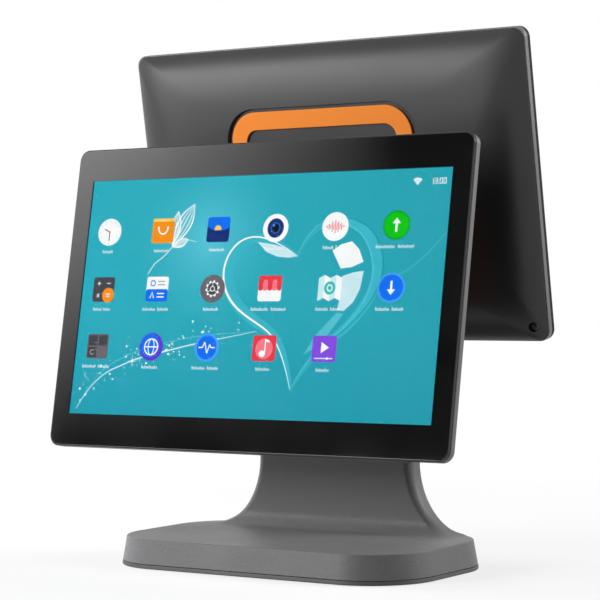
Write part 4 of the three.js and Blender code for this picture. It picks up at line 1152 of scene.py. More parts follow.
@dataclass(frozen=True)
class Hinge:
    """Sizes of a tilt hinge, which a display's bracket and its fork on the mast share.

    bore and eye are the radii of an ear's hole and rounded end, and fork is how far from the middle the fork's
    ears start. tip is how far the shaft shows past its nut, and socket is the radius and depth of its hex drive.
    """

    shaft: float = 4.0
    bore: float = 4.3
    eye: float = 8.5
    fork: float = 27.0
    ear: float = 4.0
    washer: float = 0.9
    washer_radius: float = 8.0
    head: float = 3.0
    head_radius: float = 6.5
    nut: float = 5.0
    nut_radius: float = 7.5
    tip: float = 1.0
    socket: tuple[float, float] = (2.4, 1.9)
    arm_root_half: float = 12.0
    fork_root_half: float = 13.0

    @property
    def outside(self) -> float:
        """How far from the middle the shaft's head and the nut start, past the fork's ears."""
        return self.fork + self.ear + SEAT

    @property
    def arm(self) -> float:
        """How far from the middle a bracket's arm starts, within the fork's ear and a washer."""
        return self.fork - SEAT - self.washer - SEAT - self.ear

    def ears(self, low: float, root: float, root_half: float, reach: float) -> list[Form]:
        """Two ears from a root along Y to an eye about X: straight edges that meet a half turn.

        Args:
            low: How far from the middle their inner faces are.
            root: Where they start along Y.
            root_half: Their half height there.
            reach: Where the eyes' centre is along Y.

        Returns:
            The forms, centred at height 0.
        """
        eye = oval((reach, 0), self.eye, self.eye, np.linspace(-np.pi / 2, np.pi / 2, 33))
        flat = np.concatenate([[(root, -root_half)], eye, [(root, root_half)]])
        ears = []
        for x in (low, -low - self.ear):
            bore = rod(self.bore, Axis.X, (reach, 0), x - PAST, x + self.ear + PAST)
            ears.append(prism(flat, x, x + self.ear, Axis.X).cut(bore))
        return ears


@dataclass(frozen=True)
class Screw:
    """Sizes of the one kind of screw: radii of its head and shank, and a cross slot's half length, half width
    and depth.
    """

    head: float = 3.4
    head_height: float = 1.2
    shank: float = 1.5
    cross: tuple[float, float, float] = (1.6, 0.32, 0.7)

    def form(self, length: float) -> Form:
        """A screw pointing up from a domed head, with a cross recess below."""
        top = self.head_height + length
        rows = filleted([(0.3, 0), (2.2, 0), (self.head, 0.5), (self.head, self.head_height),
                         (self.shank, self.head_height), (self.shank, top), (0.3, top)],
                        (0, 0.8, 0.15, 0.1, 0, 0.3, 0), closed=False)
        long, short, depth = self.cross
        screw = turned(rows, Axis.Z)
        for half_x, half_y in ((long, short), (short, long)):
            screw.cut(block((-half_x, -half_y, -PAST), (half_x, half_y, depth)))
        return screw


HINGE = Hinge()
SCREW = Screw()


def hex_bar(radius: float, axis: Axis, centre: tuple[float, float], low: float, high: float) -> Form:
    """A six-sided bar along an axis."""
    return turned([[radius, low], [radius, high]], axis, centre, segments=6)


def extent(name: str) -> tuple[Array, Array]:
    """A CAD node's lowest and highest corner in millimetres."""
    low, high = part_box(name)
    return np.array(low) / MM, np.array(high) / MM


def middle(name: str) -> Array:
    """The middle of a CAD node in millimetres."""
    low, high = extent(name)
    return (low + high) / 2


def cover_node(name: str, finish: Finish) -> None:
    """Gives a CAD node that stays as it is its material, if the model has that node."""
    node = bpy.data.objects.get(name)
    if node is None or "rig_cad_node" not in node:
        return
    for slot in node.material_slots:
        slot.material = finish.material()


# ---- Displays ----


@dataclass
class Display:
    """One display module: its own frame has X across, Y back from the glass and Z up, in millimetres."""

    label: str
    body: str
    facing: int
    tilt: float
    wallpaper: Finish
    drawing: HomeScreen | PriceScreen
    half_w: float = 189.0
    half_h: float = 123.8
    corner: float = 9.0
    glass: float = 1.8
    rim: float = 3.5
    skirt: float = 6.5
    band_back: float = 9.3
    crown: float = 22.5
    hinge: float = 46.0
    shell_wall: float = 2.2
    skirt_inset: float = 6.0
    band_wall: float = 3.6
    opening: tuple[float, float] = (176.2, 103.2)
    active: tuple[float, float] = (344.16, 193.59)
    picture_depth: float = 1.5
    pane_back: float = 0.9
    layer_pitch: float = 0.045
    layer_thickness: float = 0.03
    crown_steps: int = 34
    crown_inset: tuple[float, float] = (0.8, 50.0)
    crown_corner_growth: float = 0.6
    ring_half: tuple[float, float] = (88.0, 70.5)
    ring_corner: float = 24.5
    ring_band: float = 15.0
    ring_inner_corner: float = 10.5
    groove: float = 3.0
    ring_back: float = 22.0
    panel_back: float = 20.0
    panel_thickness: float = 2.3
    panel_lap: float = 4.0
    window: tuple[float, float, float] = (27.0, 14.0, 3.0)
    screw_place: tuple[float, float] = (178.0, -111.5)
    screw_seat: float = 11.5
    screw_length: float = 3.5
    screw_boss: float = 6.0
    screw_recess: float = 4.0
    bracket_plate: tuple[float, float, float] = (42.0, 35.0, 4.0)
    bracket_thickness: float = 2.0
    chassis: float = 1.2
    button_place: tuple[float, float] = (150.0, 6.55)
    has_button: bool = False

    def __post_init__(self) -> None:
        """Finds the display's place from the middle of its CAD glass."""
        low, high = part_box(f"{self.label}_cover_glass")
        angle = math.radians(self.tilt)
        turn = Matrix((
            (self.facing, 0, 0),
            (0, self.facing * math.cos(angle), self.facing * math.sin(angle)),
            (0, -math.sin(angle), math.cos(angle)),
        ))
        origin = (low + high) / 2 - turn @ Vector((0, self.glass / 2 * MM, 0))
        self.place = Matrix.Translation(origin) @ turn.to_4x4()

    def node(self, part: str) -> str:
        """A CAD node's name on this display."""
        return f"{self.label}_{part}"

    def stations(self, rows: Rows, radii: Sequence[float], steps: int = FILLET_STEPS) -> Array:
        """Rounded stations from rows of inset and depth, whose corner shrinks with the inset."""
        full = [(self.half_w - i, self.half_h - i, max(self.corner - i, SEAT), d) for i, d in rows]
        return filleted(full, radii, steps=steps)

    def build(self) -> None:
        """Builds every piece of the display."""
        self.border()
        self.screen()
        self.bezel()
        self.band()
        self.rear_cover()
        self.ring()
        self.bracket()
        self.hardware()
        self.dress_inside()

    def finish(self, form: Form, name: str, finish: Finish, *stands_for: str,
               slot: bool = True) -> bpy.types.Object:
        """Stands a form up in the display's place and dresses it."""
        return form.turned(self.place).dress(self.node(name), self.body, finish,
                                             *(self.node(n) for n in stands_for), slot=slot)

    def border(self) -> None:
        """Black printed border of the glass: a loop whose front edge is ground round, open over the picture."""
        opening = [(self.active[0] / 2 + 0.15, self.active[1] / 2 + 0.15, 0.4, d) for d in (self.glass, 0.0)]
        outer = [(self.half_w, self.half_h, self.corner, d) for d in (0.0, self.glass)]
        rows = filleted(outer + opening, (0.8, 0.15, 0, 0.03), steps=6)
        self.finish(skin(depth_rings(rows), loops=True), "glass_border", BORDER, "cover_glass")

    def screen(self) -> None:
        """Clear window, the lit picture behind it and the inks of its icons."""
        half = [s / 2 + 0.1 for s in self.active]
        pane = [(*half, 0.35, 0.005), (*half, 0.35, self.pane_back)]
        self.finish(skin(depth_rings(pane)), "glass_window", PANE, "cover_glass")
        back = self.glass + SEAT - 0.02
        slab = [(*half, 0.35, self.picture_depth), (*half, 0.35, back)]
        picture = skin(depth_rings(slab)).plane_uv(*half)
        self.finish(picture, "lit_picture", self.wallpaper)
        for ink, form in self.drawing.draw().forms(self.picture_depth, self.layer_pitch, self.layer_thickness):
            self.finish(form, f"ink_{ink.name.lower()}", ink.finish(), slot=False)

    def bezel(self) -> None:
        """Black frame: a rim behind the glass with soft edges, and a skirt inside the band."""
        front = self.glass + SEAT
        rows = self.stations([(0, front), (0, self.rim), (self.skirt_inset, self.rim),
                              (self.skirt_inset, self.skirt)], (0.35, 0.3, 0.1, 0.1))
        opening = [(*self.opening, 0.7, self.skirt), (*self.opening, 0.7, front)]
        self.finish(skin(depth_rings(np.concatenate([rows, opening])), loops=True), "bezel_frame_shaped", BEZEL,
                    "bezel_frame")

    def band(self) -> None:
        """Metal band round the edge with rounded lips, slotted under the button where there is one."""
        front = self.rim + SEAT
        rows = self.stations([(0, front), (0, self.band_back), (self.band_wall, self.band_back),
                              (self.band_wall, front)], (0.9, 0.7, 0.1, 0.1), steps=5)
        band = skin(depth_rings(rows), loops=True)
        if self.has_button:
            slot = outlines(4.9, 2.0, 1.9)[0] + self.button_place
            band.cut(prism(slot, -self.half_h - PAST, -self.half_h + self.band_wall + PAST, Axis.Z))
            self.power_button()
        self.finish(band, "band", BAND, "side_frame")

    def power_button(self) -> None:
        """Button cap: a rounded bar with a soft crown, on its flange inside the band."""
        proud, half_l, half_w, flange = 0.8, 4.6, 1.7, 0.8
        bottom, seat = -self.half_h - proud, -self.half_h + self.band_wall + SEAT
        crown = [(half_l - inset, half_w - inset, corner, bottom + rise)
                 for inset, corner, rise in ((0.7, 0.95, 0), (0.25, 1.4, 0.12), (0, 1.6, 0.45))]
        foot = [(half_l + lap, half_w + lap, 1.6, z)
                for lap, z in ((0, seat), (flange, seat), (flange, seat + flange))]
        cap = skin(level_rings(crown + foot) + (*self.button_place, 0))
        cap.turned(self.place).dress("power_button_cap", "power_button", BUTTON_PLASTIC, "power_button")

    def crown_stations(self, wall: float) -> Array:
        """Stations of the crowned back. At share t of the way in from the edge the crown has risen by
        (1 - (1 - t)^2.6)^0.8 of its height.

        Args:
            wall: 0 for the outside, and the shell's thickness for its inside.

        Returns:
            Rows of half width, half height, corner and depth.
        """
        t = np.linspace(0, 1, self.crown_steps) ** 1.7
        edge, flat = self.crown_inset
        inset, share = edge + (flat - edge) * t, (1 - (1 - t) ** 2.6) ** 0.8
        front = self.band_back + SEAT
        margin = inset + wall * (1 - share)
        return np.stack([
            self.half_w - margin,
            self.half_h - margin,
            self.corner + self.crown_corner_growth * inset - wall * (1 - share),
            front + share * (self.crown - wall - front),
        ], -1)

    def rear_cover(self) -> None:
        """Crowned back with the well for the ring and two recessed screw holes."""
        outside, inside = self.crown_stations(0), self.crown_stations(self.shell_wall)
        well = tuple(size + self.groove for size in (*self.ring_half, self.ring_corner))
        lip = filleted([outside[-1], (*well, self.crown), (*well, self.crown - self.shell_wall), inside[-1]],
                       (0, 1.9, 0.15, 0), closed=False, steps=6)
        shell = skin(depth_rings(np.concatenate([outside[:-1], lip, inside[-2::-1]])), loops=True)
        solid_rows = np.concatenate([outside, [(*well, self.crown)]])
        front = self.band_back + SEAT
        for side in (-1, 1):
            centre = (side * self.screw_place[0], self.screw_place[1])
            boss = rod(self.screw_boss, Axis.Y, centre, front, self.crown)
            shell.join(boss.meet(skin(depth_rings(solid_rows))))
            hole = SCREW.shank + SEAT
            shell.cut(turned([[hole, front - PAST], [hole, self.screw_seat], [self.screw_recess, self.screw_seat],
                              [self.screw_recess, self.crown + PAST]], Axis.Y, centre))
        self.finish(shell, "rear_shell", HOUSING, "rear_cover")

    def ring(self) -> None:
        """Recessed panel with the bracket's window, and the coloured ring with soft edges that lies on it."""
        front, lap = self.panel_back - self.panel_thickness, self.groove + self.panel_lap
        outer = (*(size + lap for size in self.ring_half), self.ring_corner + lap - 1)
        back = self.panel_back
        rows = [(*outer, front), (*outer, back), (*self.window, back), (*self.window, front)]
        panel = skin(depth_rings(filleted(rows, (0, 0, 0.4, 0.1))), loops=True)
        self.finish(panel, "ring_panel_shaped", PANEL_PLASTIC, "ring_panel")
        inner = (*(size - self.ring_band for size in self.ring_half), self.ring_inner_corner)
        outer, low = (*self.ring_half, self.ring_corner), self.panel_back + SEAT
        rows = [(*outer, low), (*outer, self.ring_back), (*inner, self.ring_back), (*inner, low)]
        self.finish(skin(depth_rings(filleted(rows, (0.1, 0.6, 0.6, 0.1))), loops=True), "accent_ring_shaped",
                    ACCENT, "accent_ring")

    def bracket(self) -> None:
        """Pressed bracket: a screwed plate and two arms that carry the hinge shaft."""
        front = self.skirt + SEAT + self.chassis + SEAT
        back = front + self.bracket_thickness
        plate = skin(depth_rings([(*self.bracket_plate, front), (*self.bracket_plate, back)]))
        arms = HINGE.ears(HINGE.arm, front + self.bracket_thickness / 2, HINGE.arm_root_half, self.hinge)
        self.finish(plate.join(*arms).bevel(0.35), "bracket", HINGE_STEEL, "tilt_bracket")

    def hardware(self) -> None:
        """Hinge shaft, nut, washers and the screws that hold the rear cover."""
        centre, head, nut = (self.hinge, 0), -HINGE.outside - HINGE.head, HINGE.outside
        tip, bore = nut + HINGE.nut + HINGE.tip, HINGE.bore
        rows = [(0.4, head), (HINGE.head_radius, head), (HINGE.head_radius, -HINGE.outside),
                (HINGE.shaft, -HINGE.outside), (HINGE.shaft, tip), (0.4, tip)]
        shaft = turned(filleted(rows, (0, 0.8, 0.2, 0.1, 0.6, 0), closed=False), Axis.X, centre)
        socket, depth = HINGE.socket
        shaft.cut(hex_bar(socket, Axis.X, centre, head - PAST, head + depth))
        self.finish(shaft, "hinge_pin", FASTENER, "hinge_shaft")
        wide, end = HINGE.nut_radius, nut + HINGE.nut
        eased = turned([[wide - 0.8, nut], [wide, nut + 0.7], [wide, end - 0.7], [wide - 0.8, end]], Axis.X,
                       centre)
        form = hex_bar(wide, Axis.X, centre, nut, end).meet(eased)
        self.finish(form.cut(rod(bore, Axis.X, centre, nut - PAST, end + PAST)), "hinge_nut_shaped", FASTENER,
                    "hinge_nut")
        for label, low in (("left", SEAT - HINGE.fork), ("right", HINGE.fork - SEAT - HINGE.washer)):
            high, wide = low + HINGE.washer, HINGE.washer_radius
            rows = filleted([(bore, low), (wide, low), (wide, high), (bore, high)], (0.15,) * 4)
            self.finish(turned(rows, Axis.X, centre, loops=True), f"washer_{label}", BRASS,
                        f"friction_washer_{label}")
        top = self.screw_seat + SEAT + SCREW.head_height
        for label, side in (("left", -1), ("right", 1)):
            place = Matrix.Translation(Vector((side * self.screw_place[0], top, self.screw_place[1])) * MM)
            screw = SCREW.form(self.screw_length).turned(place @ Matrix.Rotation(math.pi / 2, 4, "X"))
            self.finish(screw, f"screw_{label}", FASTENER, f"cover_screw_{label}")

    def dress_inside(self) -> None:
        """Gives the pieces inside the display their materials."""
        finishes = {"lcd_panel": CELL, "chassis": STEEL, "board": CIRCUIT, "heat_spreader": STEEL,
                    "speaker_left": SPEAKER_PLASTIC, "speaker_right": SPEAKER_PLASTIC}
        for part, finish in finishes.items():
            cover_node(self.node(part), finish)


# ---- Stand ----


@dataclass
class Stand:
    """Cast stand: a weighted base, a wide neck that flares out of it and bends up to the mast."""

    half_w: float = 139.6
    half_d: float = 77.0
    corner: float = 50.0
    height: float = 23.5
    plate_top: float = 4.0
    draft: float = 0.174
    edge: float = 0.7
    wall: float = 3.0
    neck_half_w: float = 75.3
    neck_thickness: float = 17.0
    front_corner: float = 7.0
    back_corner: float = 2.5
    inner_front_corner: float = 4.5
    inner_corner: float = 1.2
    side_flare: tuple[float, float] = (46.0, 58.0)
    front_flare: float = 12.0
    back_flare: float = 6.0
    setback: float = 8.4
    bend: tuple[float, float] = (88.0, 185.98)
    bend_pull: float = 38.0
    mast_half_w: float = 52.0
    neck_wall: float = 2.4
    side_wall: float = 3.2
    cap: float = 3.0
    cover: float = 2.0
    cover_recess: float = 0.2
    headroom: float = 4.0
    knuckle_half: float = 15.0
    fork_proud: float = 0.9
    fork_roots: tuple[float, float] = (6.1, -2.5)
    sill: float = 7.0
    passage_half: float = 40.0
    cover_corner: float = 0.6
    flat_inset: float = 12.0
    lower_chamfer: float = 0.35
    plate_underside: float = 0.4
    foot_radius: float = 9.0
    foot_recess: float = 2.0
    plate_screw_depth: float = 1.8
    plate_screw_length: float = 12.0
    flare_steps: int = 30
    bend_steps: int = 28
    body: str = "stand"

    def __post_init__(self) -> None:
        """Finds the base's middle and the hinge axes from the CAD nodes."""
        self.base_y = middle("base_plate")[1]
        self.hinges = {label: middle(f"{label}_hinge_shaft")[1:] for label in ("main", "customer")}
        self.mast_y = (self.hinges["main"][0] + self.hinges["customer"][0]) / 2
        self.neck_half = self.neck_thickness / 2
        self.neck_y = self.base_y + self.half_d - self.setback - self.neck_half
        self.under_cap = self.hinges["customer"][1] + self.knuckle_half + self.headroom - SEAT
        self.mast_top = self.under_cap + SEAT + self.cap
        self.port_face = self.base_y + self.half_d
        self.reach = (self.hinges["customer"][0] - self.hinges["main"][0]) / 2

    def build(self) -> None:
        """Builds every piece of the stand."""
        self.casting()
        self.base_plate()
        self.rear_cover()
        self.mast_cap()
        self.clevises()
        self.feet()
        self.screws()
        self.ports()
        for name, finish in (("ballast_plate", STEEL), ("io_board", CIRCUIT), ("neck_spine", STEEL)):
            cover_node(name, finish)

    def base_rings(self, rows: Sequence[tuple[float, float]]) -> Array:
        """Level outlines of the base from rows of inset and height. The sides lean out by the draft."""
        inset, z = np.array(rows, float).T
        grow = (self.height - z) * self.draft - inset
        rings = level_rings(np.stack([self.half_w + grow, self.half_d + grow, self.corner + grow, z], -1), 28)
        return rings + (0, self.base_y, 0)

    @staticmethod
    def hollow(width: float, height: float, rise: Array) -> Array:
        """A quarter-oval sweep: width times (1 - sqrt(1 - (1 - rise / height)^2)), and 0 above its height."""
        share = np.clip(1 - rise / height, 0, 1)
        return width * (1 - np.sqrt(1 - share ** 2))

    def stations(self) -> Array:
        """Rows up the neck of y, z, lean, half width, front and back: the flare rises by 1 - cos, and the bend is
        a cubic curve between its two upright ends, narrowing smoothly to the mast.
        """
        rise = self.side_flare[1] * (1 - np.cos(np.linspace(0, np.pi / 2, self.flare_steps + 1)))
        zero = np.zeros_like(rise)
        foot = np.stack([
            zero + self.neck_y,
            self.height + rise,
            zero,
            self.neck_half_w + self.hollow(*self.side_flare, rise),
            -self.neck_half - self.hollow(self.front_flare, self.front_flare, rise),
            self.neck_half + self.hollow(self.back_flare, self.back_flare, rise),
        ], -1)
        t = np.linspace(0, 1, self.bend_steps + 1)[:, None]
        low, high = self.bend
        knots = np.array([(self.neck_y, low), (self.neck_y, low + self.bend_pull),
                          (self.mast_y, high - self.bend_pull), (self.mast_y, high)])
        weights = np.concatenate([(1 - t) ** 3, 3 * t * (1 - t) ** 2, 3 * t ** 2 * (1 - t), t ** 3], 1)
        slopes = np.concatenate([(1 - t) ** 2, 2 * t * (1 - t), t ** 2], 1) @ np.diff(knots, axis=0)
        curve = weights @ knots
        ease = t[:, 0] ** 2 * (3 - 2 * t[:, 0])
        zero = np.zeros_like(ease)
        rising = np.stack([
            curve[:, 0],
            curve[:, 1],
            np.arctan2(slopes[:, 0], slopes[:, 1]),
            self.neck_half_w + (self.mast_half_w - self.neck_half_w) * ease,
            zero - self.neck_half,
            zero + self.neck_half,
        ], -1)
        top = rising[-1].copy()
        top[1] = self.mast_top
        return np.concatenate([foot, rising, top[None]])

    def between(self, bottom: float, top: float) -> Array:
        """The stations between two heights, with one at each of them."""
        rows = self.stations()
        inside = rows[(rows[:, 1] > bottom) & (rows[:, 1] < top)]
        first, last = inside[0].copy(), inside[-1].copy()
        first[1], last[1] = bottom, top
        return np.concatenate([first[None], inside, last[None]])

    @staticmethod
    def neck_rings(rows: Array, half_w: Array, front: Array, back: Array, corner: float,
                   front_corner: float | None = None, steps: int = 8) -> Array:
        """Rings across the neck: an offset from the centre line moves by its cosine in Y and its sine in Z.

        Args:
            rows: Stations of the neck.
            half_w: Half width of each ring.
            front: Offset of each ring's front.
            back: Offset of each ring's back.
            corner: Corner radius.
            front_corner: Radius of the front corners, if they have their own.
            steps: Steps in each corner.

        Returns:
            Points of shape (rows, points, 3).
        """
        y, z, lean = rows[:, 0, None], rows[:, 1, None], rows[:, 2, None]
        flat = outlines(half_w, (back - front) / 2, corner, steps, front_corner)
        offset = flat[..., 1] + ((front + back) / 2)[:, None]
        return np.stack([flat[..., 0], y + offset * np.cos(lean), z - offset * np.sin(lean)], -1)

    def inner_half(self, rows: Array) -> Array:
        """Half width of the space inside the neck, which doesn't follow the flare."""
        return np.minimum(rows[:, 3], self.neck_half_w) - self.side_wall

    def casting(self) -> None:
        """Base and neck as one shell: the base's skirt and soft top edge, the flared neck clipped to the base,
        then the spaces inside, the windows for the hinge fork and the sockets.
        """
        top = self.height
        side = [(0, self.plate_top), (0, top), (self.flat_inset, top)]
        rows = filleted(side, (0, self.edge, 0), closed=False)
        lower = [(self.lower_chamfer, self.plate_top), (0, self.plate_top + self.lower_chamfer)]
        shell = skin(self.base_rings([*lower, *rows[1:]]))
        stations = self.stations()
        root = stations[0].copy()
        root[1] = top - self.wall / 2
        column = np.concatenate([root[None], stations])
        neck = skin(self.neck_rings(column, column[:, 3], column[:, 4], column[:, 5], self.back_corner,
                                    self.front_corner))
        column_top = self.mast_top + 20 * PAST
        neck.meet(skin(self.base_rings([(self.edge, top)] * 2) + [[[0, 0, -top]], [[0, 0, column_top - top]]]))
        shell.join(neck)
        shell.cut(skin(self.base_rings([(self.wall, self.plate_top - PAST), (self.wall, top - self.wall)])))
        inner = stations.copy()
        inner[0, 1], inner[-1, 1] = top - self.wall - PAST, self.mast_top + PAST
        zero = np.zeros(len(inner))
        channel = skin(self.neck_rings(inner, self.inner_half(inner), zero + self.neck_wall - self.neck_half,
                                       zero + self.neck_half + PAST, self.inner_corner, self.inner_front_corner))
        channel.cut(block((-self.half_w, self.base_y - self.half_d, 0),
                          (self.half_w, self.base_y + self.half_d, top + self.sill - SEAT)))
        hole = block((-self.passage_half, self.neck_y - self.neck_half + self.neck_wall, top - self.wall - PAST),
                     (self.passage_half, self.neck_y + self.neck_half - self.side_wall, top + self.sill))
        shell.cut(channel, hole, self.fork_window("main", self.mast_y - self.neck_half - PAST, self.mast_y))
        for name in ("power_inlet", "lan_port", "usb_port_1", "usb_port_2", "drawer_port", "audio_jack"):
            low, high = extent(name)
            shell.cut(block(low - SEAT, high + (SEAT, 6, SEAT)))
        shell.dress("casting", self.body, CASTING, "stand_shell")

    def fork_window(self, label: str, front: float, back: float, top: float | None = None) -> Form:
        """A cut for a hinge fork, between two places along Y, and up to a height where that isn't the fork's."""
        z, half = self.hinges[label][1], self.knuckle_half + SEAT
        return block((-HINGE.outside, front, z - half), (HINGE.outside, back, top or z + half))

    def base_plate(self) -> None:
        """Bottom plate with a rounded lower edge, foot recesses and screw holes."""
        under, top, flat = self.plate_underside, self.plate_top - SEAT, self.flat_inset
        rows = filleted([(flat, under), (0, under), (0, top), (flat, top)], (0, 0.9, 0.15, 0), closed=False)
        plate = skin(self.base_rings(rows))
        head, shank, seat = SCREW.head + SEAT, SCREW.shank + SEAT, self.plate_screw_depth + SEAT
        radius, recess = self.foot_radius + SEAT, self.foot_recess + SEAT
        for i in range(1, 5):
            plate.cut(rod(radius, Axis.Z, middle(f"foot_{i}")[:2], -PAST, recess))
            plate.cut(turned([[head, -PAST], [head, seat], [shank, seat], [shank, self.plate_top + PAST]], Axis.Z,
                             middle(f"plate_screw_{i}")[:2]))
        plate.dress("bottom_plate", self.body, PLATE_PAINT, "base_plate")

    def rear_cover(self) -> None:
        """Cover in the neck's open back, its edges eased, with the customer fork's window."""
        rows = self.between(self.height + self.sill, self.under_cap)
        back = np.zeros(len(rows)) + self.neck_half - self.cover_recess
        half_w = self.inner_half(rows) - SEAT
        cover = skin(self.neck_rings(rows, half_w, back - self.cover, back, self.cover_corner))
        cover.cut(self.fork_window("customer", self.mast_y, self.mast_y + self.neck_thickness, self.mast_top))
        cover.dress("neck_cover", self.body, NECK_PLASTIC, "neck_rear_cover")

    def mast_cap(self) -> None:
        """Plug in the top of the neck with a softly rounded top edge."""
        front, back = self.neck_wall - self.neck_half + SEAT, self.neck_half - self.cover_recess
        half_w, half_d, top = self.mast_half_w - self.side_wall - SEAT, (back - front) / 2, self.mast_top
        outline = (half_w, half_d, self.inner_corner)
        rows = filleted([(*outline, top - self.cap), (*outline, top), (half_w - 5, half_d - 5, 0.2, top)],
                        (0, 0.5, 0), closed=False)[:-1]
        rings = level_rings(rows, low_corner=self.inner_front_corner - SEAT - 0.5)
        cap = skin(rings + (0, self.mast_y + (front + back) / 2, 0))
        cap.dress("mast_plug", self.body, NECK_PLASTIC, "mast_cap")

    def clevises(self) -> None:
        """The two forks on the mast: a block through its wall and two ears to the hinge axis."""
        half_x, half_z = HINGE.fork + HINGE.ear, self.knuckle_half
        for label, inner, turn in zip(("main", "customer"), self.fork_roots, (math.pi, 0.0)):
            fork = block((-half_x, inner, -half_z), (half_x, self.neck_half + self.fork_proud, half_z))
            fork.join(*HINGE.ears(HINGE.fork, self.neck_half, HINGE.fork_root_half, self.reach))
            place = Matrix.Translation((0, self.mast_y * MM, self.hinges[label][1] * MM))
            fork.bevel(0.5).turned(place @ Matrix.Rotation(turn, 4, "Z"))
            fork.dress(f"{label}_fork", self.body, HINGE_STEEL, f"{label}_clevis")

    def feet(self) -> None:
        """Rubber feet: low discs with a soft rim and a shallow ring moulded in the sole."""
        radius, top = self.foot_radius, self.foot_recess
        rows = filleted([(0.5, 0.5), (4.2, 0.5), (4.9, 0), (radius, 0), (radius, top), (0.5, top)],
                        (0, 0.2, 0.2, 0.6, 0.2, 0), closed=False)
        for i in range(1, 5):
            foot = turned(rows, Axis.Z, middle(f"foot_{i}")[:2])
            foot.dress(f"rubber_foot_{i}", self.body, RUBBER, f"foot_{i}")

    def screws(self) -> None:
        """Cross-recessed screws through the bottom plate."""
        for i in range(1, 5):
            low, high = extent(f"plate_screw_{i}")
            screw = SCREW.form(self.plate_screw_length).moved(*(low + high)[:2] / 2, low[2])
            screw.dress(f"bottom_screw_{i}", self.body, FASTENER, f"plate_screw_{i}")

    def ports(self) -> None:
        """Sockets in the back of the base, with their mouths, pins and contacts."""
        self.plug_port("lan_port", SOCKET_METAL, (11.7, 8.2, 13), 8)
        self.plug_port("drawer_port", SOCKET_BLACK, (9.7, 8.0, 12), 6)
        self.flat_port("usb_port_1")
        self.flat_port("usb_port_2")
        self.round_port("power_inlet", 3.15, 1.0)
        self.round_port("audio_jack", 1.8, 0.0)

    def plug_port(self, name: str, finish: Finish, mouth: tuple[float, float, float], wires: int) -> None:
        """A box with a rectangular mouth, a notch for the plug's latch below it and sprung wires above.

        Args:
            name: The CAD node that it stands for.
            finish: The box's finish.
            mouth: The mouth's width, height and depth.
            wires: How many wires it has.
        """
        low, high = extent(name)
        (x, _, z), back = (low + high) / 2, high[1]
        half_w, half_h, floor = mouth[0] / 2, mouth[1] / 2, back - mouth[2]
        body = block(low, high).bevel(0.4)
        body.cut(block((x - half_w, floor, z - half_h), (x + half_w, back + PAST, z + half_h)))
        body.cut(block((x - 1.9, floor + 2, z - half_h - 1.1), (x + 1.9, back + PAST, z - half_h + PAST)))
        body.dress(f"{name}_shell", self.body, finish, name)
        for i in range(wires):
            at, top = x + (i - (wires - 1) / 2) * 1.02, z + half_h - 0.9
            wire = block((at - 0.2, floor + 0.4, top - 0.4), (at + 0.2, back - 2.2, top))
            wire.bevel(0.08, 1).dress(f"{name}_wire_{i + 1}", self.body, GOLD)

    def flat_port(self, name: str) -> None:
        """A tin shell round a contact tongue."""
        low, high = extent(name)
        (left, front, bottom), (right, back, top) = low, high
        x, _, z = middle(name)
        shell = block(low, high).bevel(0.5)
        shell.cut(block((left + 0.8, front + 1.6, bottom + 0.8), (right - 0.8, back + PAST, top - 0.8)))
        shell.dress(f"{name}_shell", self.body, SOCKET_METAL, name)
        tongue = block((left + 1.6, front + 1.7, z), (right - 1.6, back - 1.2, z + 1.8))
        tongue.bevel(0.2).dress(f"{name}_tongue", self.body, SOCKET_BLACK)
        for i in range(4):
            at = x + (i - 1.5) * 2.4
            strip = block((at - 0.5, front + 3, z - 0.12), (at + 0.5, back - 2, z - 0.02))
            strip.dress(f"{name}_contact_{i + 1}", self.body, GOLD)

    def round_port(self, name: str, bore: float, pin: float) -> None:
        """A moulded body with a round mouth whose lip is eased, and a pin in it where it has one.

        Args:
            name: The CAD node that it stands for.
            bore: The mouth's radius.
            pin: The pin's radius, or 0.
        """
        low, high = extent(name)
        centre, floor, back = middle(name)[[0, 2]], low[1] + 2, high[1]
        body = block(low, high).bevel(0.4)
        body.cut(turned([[bore, floor], [bore, back - 0.5], [bore + 0.7, back + 0.2], [bore + 0.7, back + PAST]],
                        Axis.Y, centre))
        body.dress(f"{name}_body", self.body, SOCKET_BLACK, name)
        outside, inside, foot, mouth = bore - 0.05, bore - 0.35, floor + 0.1, back - 0.7
        sleeve = turned([[outside, foot], [outside, mouth], [inside, mouth], [inside, foot]], Axis.Y, centre,
                        loops=True)
        sleeve.dress(f"{name}_sleeve", self.body, SOCKET_METAL)
        if pin:
            rows = filleted([(pin, foot), (pin, back - 1.0), (0.2, back - 1.0)], (0, 0.5, 0), closed=False)
            turned(rows, Axis.Y, centre).dress(f"{name}_pin", self.body, SOCKET_METAL)


# ---- Studio ----


@dataclass(frozen=True)
class Softbox:
    """A square lamp at an azimuth and elevation in degrees round the object, its distance and size in metres."""

    name: str
    azimuth: float
    elevation: float
    distance: float
    size: float
    power: float
    mirrored: bool = True

    def build(self, centre: Vector) -> None:
        """Hangs the lamp, facing the object's middle."""
        a, e = math.radians(self.azimuth), math.radians(self.elevation)
        way = Vector((math.sin(a) * math.cos(e), -math.cos(a) * math.cos(e), math.sin(e)))
        lamp = bpy.data.lights.new(self.name, "AREA")
        lamp.shape, lamp.size, lamp.energy = "SQUARE", self.size, self.power
        holder = linked(self.name, lamp)
        holder.location = centre + way * self.distance
        holder.rotation_euler = way.to_track_quat("Z", "Y").to_euler()
        holder.visible_glossy = self.mirrored


